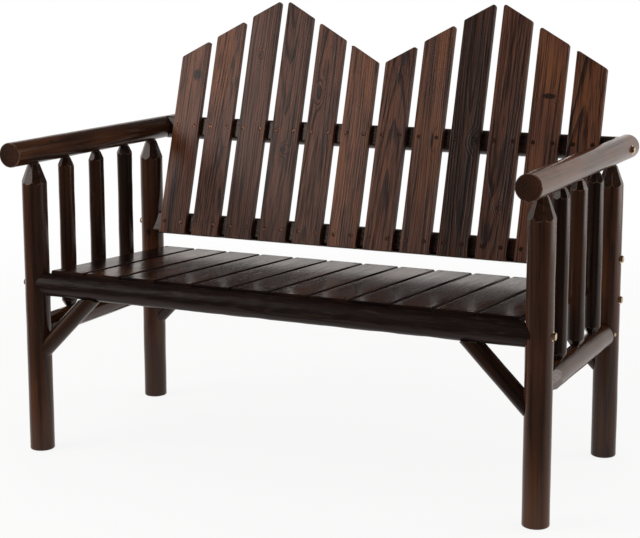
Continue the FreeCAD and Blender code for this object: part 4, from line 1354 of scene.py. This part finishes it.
def stained_wood(kind):
    """The stained and varnished wood of the logs, the seat's rails, the seat or the back."""
    name = f"stained_{kind}_wood"
    if name in bpy.data.materials:
        return bpy.data.materials[name]
    finish = bpy.context.scene.bench_finish
    inputs, relief, shine = WOODS[kind]
    material, bench, shader = new_material(name)
    grain = bench.add("ShaderNodeGroup", node_tree=stained_grain())
    for word, attribute, socket in (("Trunk", "trunk", "Vector"), ("By knot", "by_knot", "Vector"),
                                    ("End grain", "end_grain", "Fac"), ("Tone", "tone", "Fac"),
                                    ("Worn", "worn", "Fac"), ("Warmth", "warmth", "Fac"),
                                    ("Bark", "bark", "Fac")):
        reader = bench.add("ShaderNodeAttribute", attribute_name=attribute)
        bench.feed(grain.inputs[word], reader.outputs[socket])
    bench.wire(grain, inputs)
    # Rounded crests of logs, rails and back slats take the rubbed edge colour, worn stain with a painted
    # highlight; the seat's take its own lighter wood
    rim = "seat_light" if kind == "seat" else "rubbed_edge_and_glint"
    for word, color in (("Light", f"{kind}_light"), ("Dark", f"{kind}_dark"), ("Flame", "flame"),
                        ("Char", "char"), ("Rim", rim)):
        bench.feed(grain.inputs[word], opaque(getattr(finish, color)))
    normal = bench.bump(grain.outputs["Relief"], relief, GRAIN_DEPTH)
    bench.wire(shader, {"Base Color": grain.outputs["Color"], "Roughness": grain.outputs["Roughness"],
                        "Normal": normal, "Specular IOR Level": shine})
    return material


def plated_metal(name, bright, dulled):
    """Plated steel with dull patches and fine scratches."""
    material, bench, shader = new_material(name)
    place = bench.add("ShaderNodeTexCoord").outputs["Object"]
    dull = bench.ramp(bench.noise(place, (240, 240, 240), 3.0), 0.42, 0.66)
    scratch = bench.noise(place, (900, 2600, 2600), 2.0)
    color = bench.blend(dull, opaque(bright), opaque(dulled))
    bench.wire(shader, {"Base Color": color, "Metallic": 1.0, "Roughness": bench.times_plus(dull, 0.25, 0.24),
                        "Normal": bench.bump(scratch, 0.2, SCRATCH_DEPTH)})
    return material


def bare_dowel_wood():
    """Unstained wood of the dowels, with fibres along the object's axes."""
    finish = bpy.context.scene.bench_finish
    material, bench, shader = new_material("bare_dowel_wood")
    place = bench.add("ShaderNodeTexCoord").outputs["Object"]
    fibre = bench.noise(place, (700, 700, 60), 3.0)
    color = bench.blend(bench.ramp(fibre, 0.35, 0.7), opaque(finish.bare_wood), opaque(finish.tarnish))
    bench.wire(shader, {"Base Color": color, "Roughness": bench.times_plus(fibre, 0.2, 0.5)})
    return material


class BENCH_OT_fasteners(bpy.types.Operator):
    """Finish the bolts, washers, screws, pins and dowels"""

    bl_idname = "bench.fasteners"
    bl_label = "Fasteners"

    def execute(self, context):
        finish = context.scene.bench_finish
        brass = plated_metal("pale_brass_plating", finish.plating, finish.tarnish)
        bronze = plated_metal("dark_bronze_plating", finish.screw_bronze, finish.screw_stain)
        finishes = {"rail_bolts": brass, "rail_bolt_washers": brass, "back_slat_screws": bronze,
                    "seat_slat_screws": bronze, "side_rail_pins": brass, "brace_dowels": bare_dowel_wood()}
        for node, material in finishes.items():
            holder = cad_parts[node]
            if not holder.material_slots:
                raise RuntimeError(f"{node} has no material slot")
            for place in holder.material_slots:
                place.material = material
        return {"FINISHED"}


# Stage
def background_rays(bench):
    """One for rays that see the backdrop: the camera's, and what shines or is seen through."""
    path = bench.add("ShaderNodeLightPath")
    seen = bench.math("MAXIMUM", path.outputs["Is Camera Ray"], path.outputs["Is Glossy Ray"])
    return bench.math("MAXIMUM", seen, path.outputs["Is Transmission Ray"])


def seen_white(bench, stage):
    """White for the camera, and the paper's own tint in the varnish, with the node that tells the rays."""
    path = bench.add("ShaderNodeLightPath")
    return bench.blend(path.outputs["Is Glossy Ray"], (1, 1, 1, 1), opaque(stage.shine_tint)), path


# Where the white paper of the room starts and is whole: to the rear, to the left and upwards, as shares of
# the direction
PAPER_BEHIND = (0.05, 0.30)
PAPER_LEFT = (-0.62, -0.78)
PAPER_HEIGHT = (0.50, 0.22)
# The floor's own white: distances from the bench where its shade starts and ends, and its least and most
FLOOR_WHITE = (1.2, 3.5, 0.87, 1.0)
# Where in front of the bench the floor's shine starts to fade and is faded, and by how much
FLOOR_FADE = (-0.25, -0.75)
FLOOR_FADED = 0.9
# Each lamp's place, what it points at, and its width and height
KEY_LAMP = ((-2.35, -2.1, 1.9), (-0.2, 0.1, 0.7), 1.8, 1.9)
RIM_LAMP = ((3.2, 1.4, 1.0), (0.4, 0, 0.5), 2.4, 2.0)


def lamp(name, place, aim, width, height, power, tint):
    """A soft rectangular lamp that points at a place."""
    bpy.ops.object.light_add(type="AREA", location=place)
    light = bpy.context.active_object
    light.name = name
    light.data.shape = "RECTANGLE"
    light.data.size = width
    light.data.size_y = height
    light.data.energy = power
    light.data.color = tint
    light.rotation_euler = (Vector(aim) - Vector(place)).to_track_quat("-Z", "Y").to_euler()


class BENCH_OT_stage(bpy.types.Operator):
    """Set up the camera, the soft lamps and the white floor"""

    bl_idname = "bench.stage"
    bl_label = "Stage"

    def execute(self, context):
        stage = context.scene.bench_stage
        self.set_camera(context, stage)
        self.set_room(context, stage)
        self.set_floor(stage)
        lamp("key_lamp", *KEY_LAMP, stage.key_power, stage.key_tint)
        lamp("rim_lamp", *RIM_LAMP, stage.rim_power, stage.rim_tint)
        return {"FINISHED"}

    def set_camera(self, context, stage):
        """The camera at the viewing angle that the bench was measured from."""
        yaw, pitch, roll = stage.camera_yaw, stage.camera_pitch, stage.camera_roll
        ahead = Vector((-math.sin(yaw) * math.cos(pitch), math.cos(yaw) * math.cos(pitch), -math.sin(pitch)))
        level = Vector((math.cos(yaw), math.sin(yaw), 0))
        down = ahead.cross(level)
        right = level * math.cos(roll) + down * math.sin(roll)
        down = down * math.cos(roll) - level * math.sin(roll)
        turn = Matrix((right, -down, -ahead)).transposed().to_4x4()
        bpy.ops.object.camera_add()
        camera = bpy.context.active_object
        camera.name = "bench_camera"
        camera.matrix_world = Matrix.Translation(stage.camera_place) @ turn
        camera.data.lens = stage.camera_lens
        camera.data.shift_y = stage.camera_shift
        context.scene.camera = camera

    def set_room(self, context, stage):
        """A white backdrop all round, with plain light from it."""
        world = bpy.data.worlds.new("white_room")
        world.use_nodes = True
        world.node_tree.nodes.clear()
        bench = Bench(world.node_tree)
        backdrop = bench.add("ShaderNodeBackground")
        tint, path = seen_white(bench, stage)
        bench.feed(backdrop.inputs["Color"], tint)
        way = bench.add("ShaderNodeSeparateXYZ")
        bench.feed(way.inputs[0], bench.add("ShaderNodeTexCoord").outputs["Generated"])
        around = bench.math("MAXIMUM", bench.ramp(way.outputs[1], *PAPER_BEHIND),
                            bench.ramp(way.outputs[0], *PAPER_LEFT))
        low = bench.ramp(way.outputs[2], *PAPER_HEIGHT)
        paper = bench.math("MAXIMUM", bench.times(around, low), stage.dim_side)
        plain = bench.math("MAXIMUM", path.outputs["Is Camera Ray"], path.outputs["Is Transmission Ray"])
        shine = bench.times(path.outputs["Is Glossy Ray"], paper)
        matt = bench.math("SUBTRACT", 1.0, background_rays(bench))
        strength = bench.times_plus(matt, stage.room_light, bench.math("ADD", plain, shine))
        bench.feed(backdrop.inputs["Strength"], strength)
        output = bench.add("ShaderNodeOutputWorld")
        bench.feed(output.inputs["Surface"], backdrop.outputs[0])
        context.scene.world = world

    def set_floor(self, stage):
        """A white floor that keeps the bench's soft shadow near it."""
        bpy.ops.mesh.primitive_plane_add(size=stage.floor_size)
        floor = start_piece("white_floor")
        material, bench, shader = new_material("white_floor")
        output = bench.tree.nodes["Material Output"]
        tone = opaque(stage.floor_tone)
        bench.wire(shader, {"Base Color": tone, "Roughness": 0.6, "Specular IOR Level": 0.2})
        glow = bench.add("ShaderNodeEmission")
        tint, path = seen_white(bench, stage)
        bench.feed(glow.inputs["Color"], tint)
        place = bench.add("ShaderNodeTexCoord").outputs["Object"]
        share = bench.ramp(bench.vector("LENGTH", place), *FLOOR_WHITE)
        way = bench.add("ShaderNodeSeparateXYZ")
        bench.feed(way.inputs[0], place)
        in_front = bench.ramp(way.outputs[1], *FLOOR_FADE)
        dimmed = bench.times(bench.times(in_front, path.outputs["Is Glossy Ray"]), FLOOR_FADED)
        bench.feed(glow.inputs["Strength"], bench.math("SUBTRACT", 1.0, dimmed))
        mix = bench.add("ShaderNodeMixShader")
        bench.feed(mix.inputs[0], bench.times(background_rays(bench), share))
        bench.feed(mix.inputs[1], shader.outputs[0])
        bench.feed(mix.inputs[2], glow.outputs[0])
        bench.feed(output.inputs["Surface"], mix.outputs[0])
        floor.data.materials.append(material)


class BENCH_PT_panel(bpy.types.Panel):
    """The steps of building the bench"""

    bl_idname = "BENCH_PT_panel"
    bl_label = "Log bench"
    bl_space_type = "VIEW_3D"
    bl_region_type = "UI"
    bl_category = "Log bench"

    def draw(self, context):
        for step in STEPS:
            self.layout.operator(step.bl_idname)


STEPS = (
    BENCH_OT_legs,
    BENCH_OT_arms,
    BENCH_OT_spindles,
    BENCH_OT_side_rails,
    BENCH_OT_seat_rails,
    BENCH_OT_back_rails,
    BENCH_OT_braces,
    BENCH_OT_back_boards,
    BENCH_OT_seat_boards,
    BENCH_OT_fasteners,
    BENCH_OT_stage,
)
GROUPS = {
    "bench_logs": BenchLogSizes,
    "bench_boards": BenchBoardSizes,
    "bench_finish": BenchFinish,
    "bench_stage": BenchStage,
}


def register():
    for group in GROUPS.values():
        bpy.utils.register_class(group)
    for name, group in GROUPS.items():
        setattr(bpy.types.Scene, name, PointerProperty(type=group))
    for step in STEPS:
        bpy.utils.register_class(step)
    bpy.utils.register_class(BENCH_PT_panel)


def unregister():
    bpy.utils.unregister_class(BENCH_PT_panel)
    for step in reversed(STEPS):
        bpy.utils.unregister_class(step)
    for name, group in GROUPS.items():
        delattr(bpy.types.Scene, name)
        bpy.utils.unregister_class(group)


def main():
    """Builds the whole bench and its stage."""
    register()
    bpy.context.scene.view_settings.view_transform = "Standard"
    bpy.ops.bench.legs()
    bpy.ops.bench.arms()
    bpy.ops.bench.spindles()
    bpy.ops.bench.side_rails()
    bpy.ops.bench.seat_rails()
    bpy.ops.bench.back_rails()
    bpy.ops.bench.braces()
    bpy.ops.bench.back_boards()
    bpy.ops.bench.seat_boards()
    bpy.ops.bench.fasteners()
    bpy.ops.bench.stage()


if __name__ == "__main__":
    main()
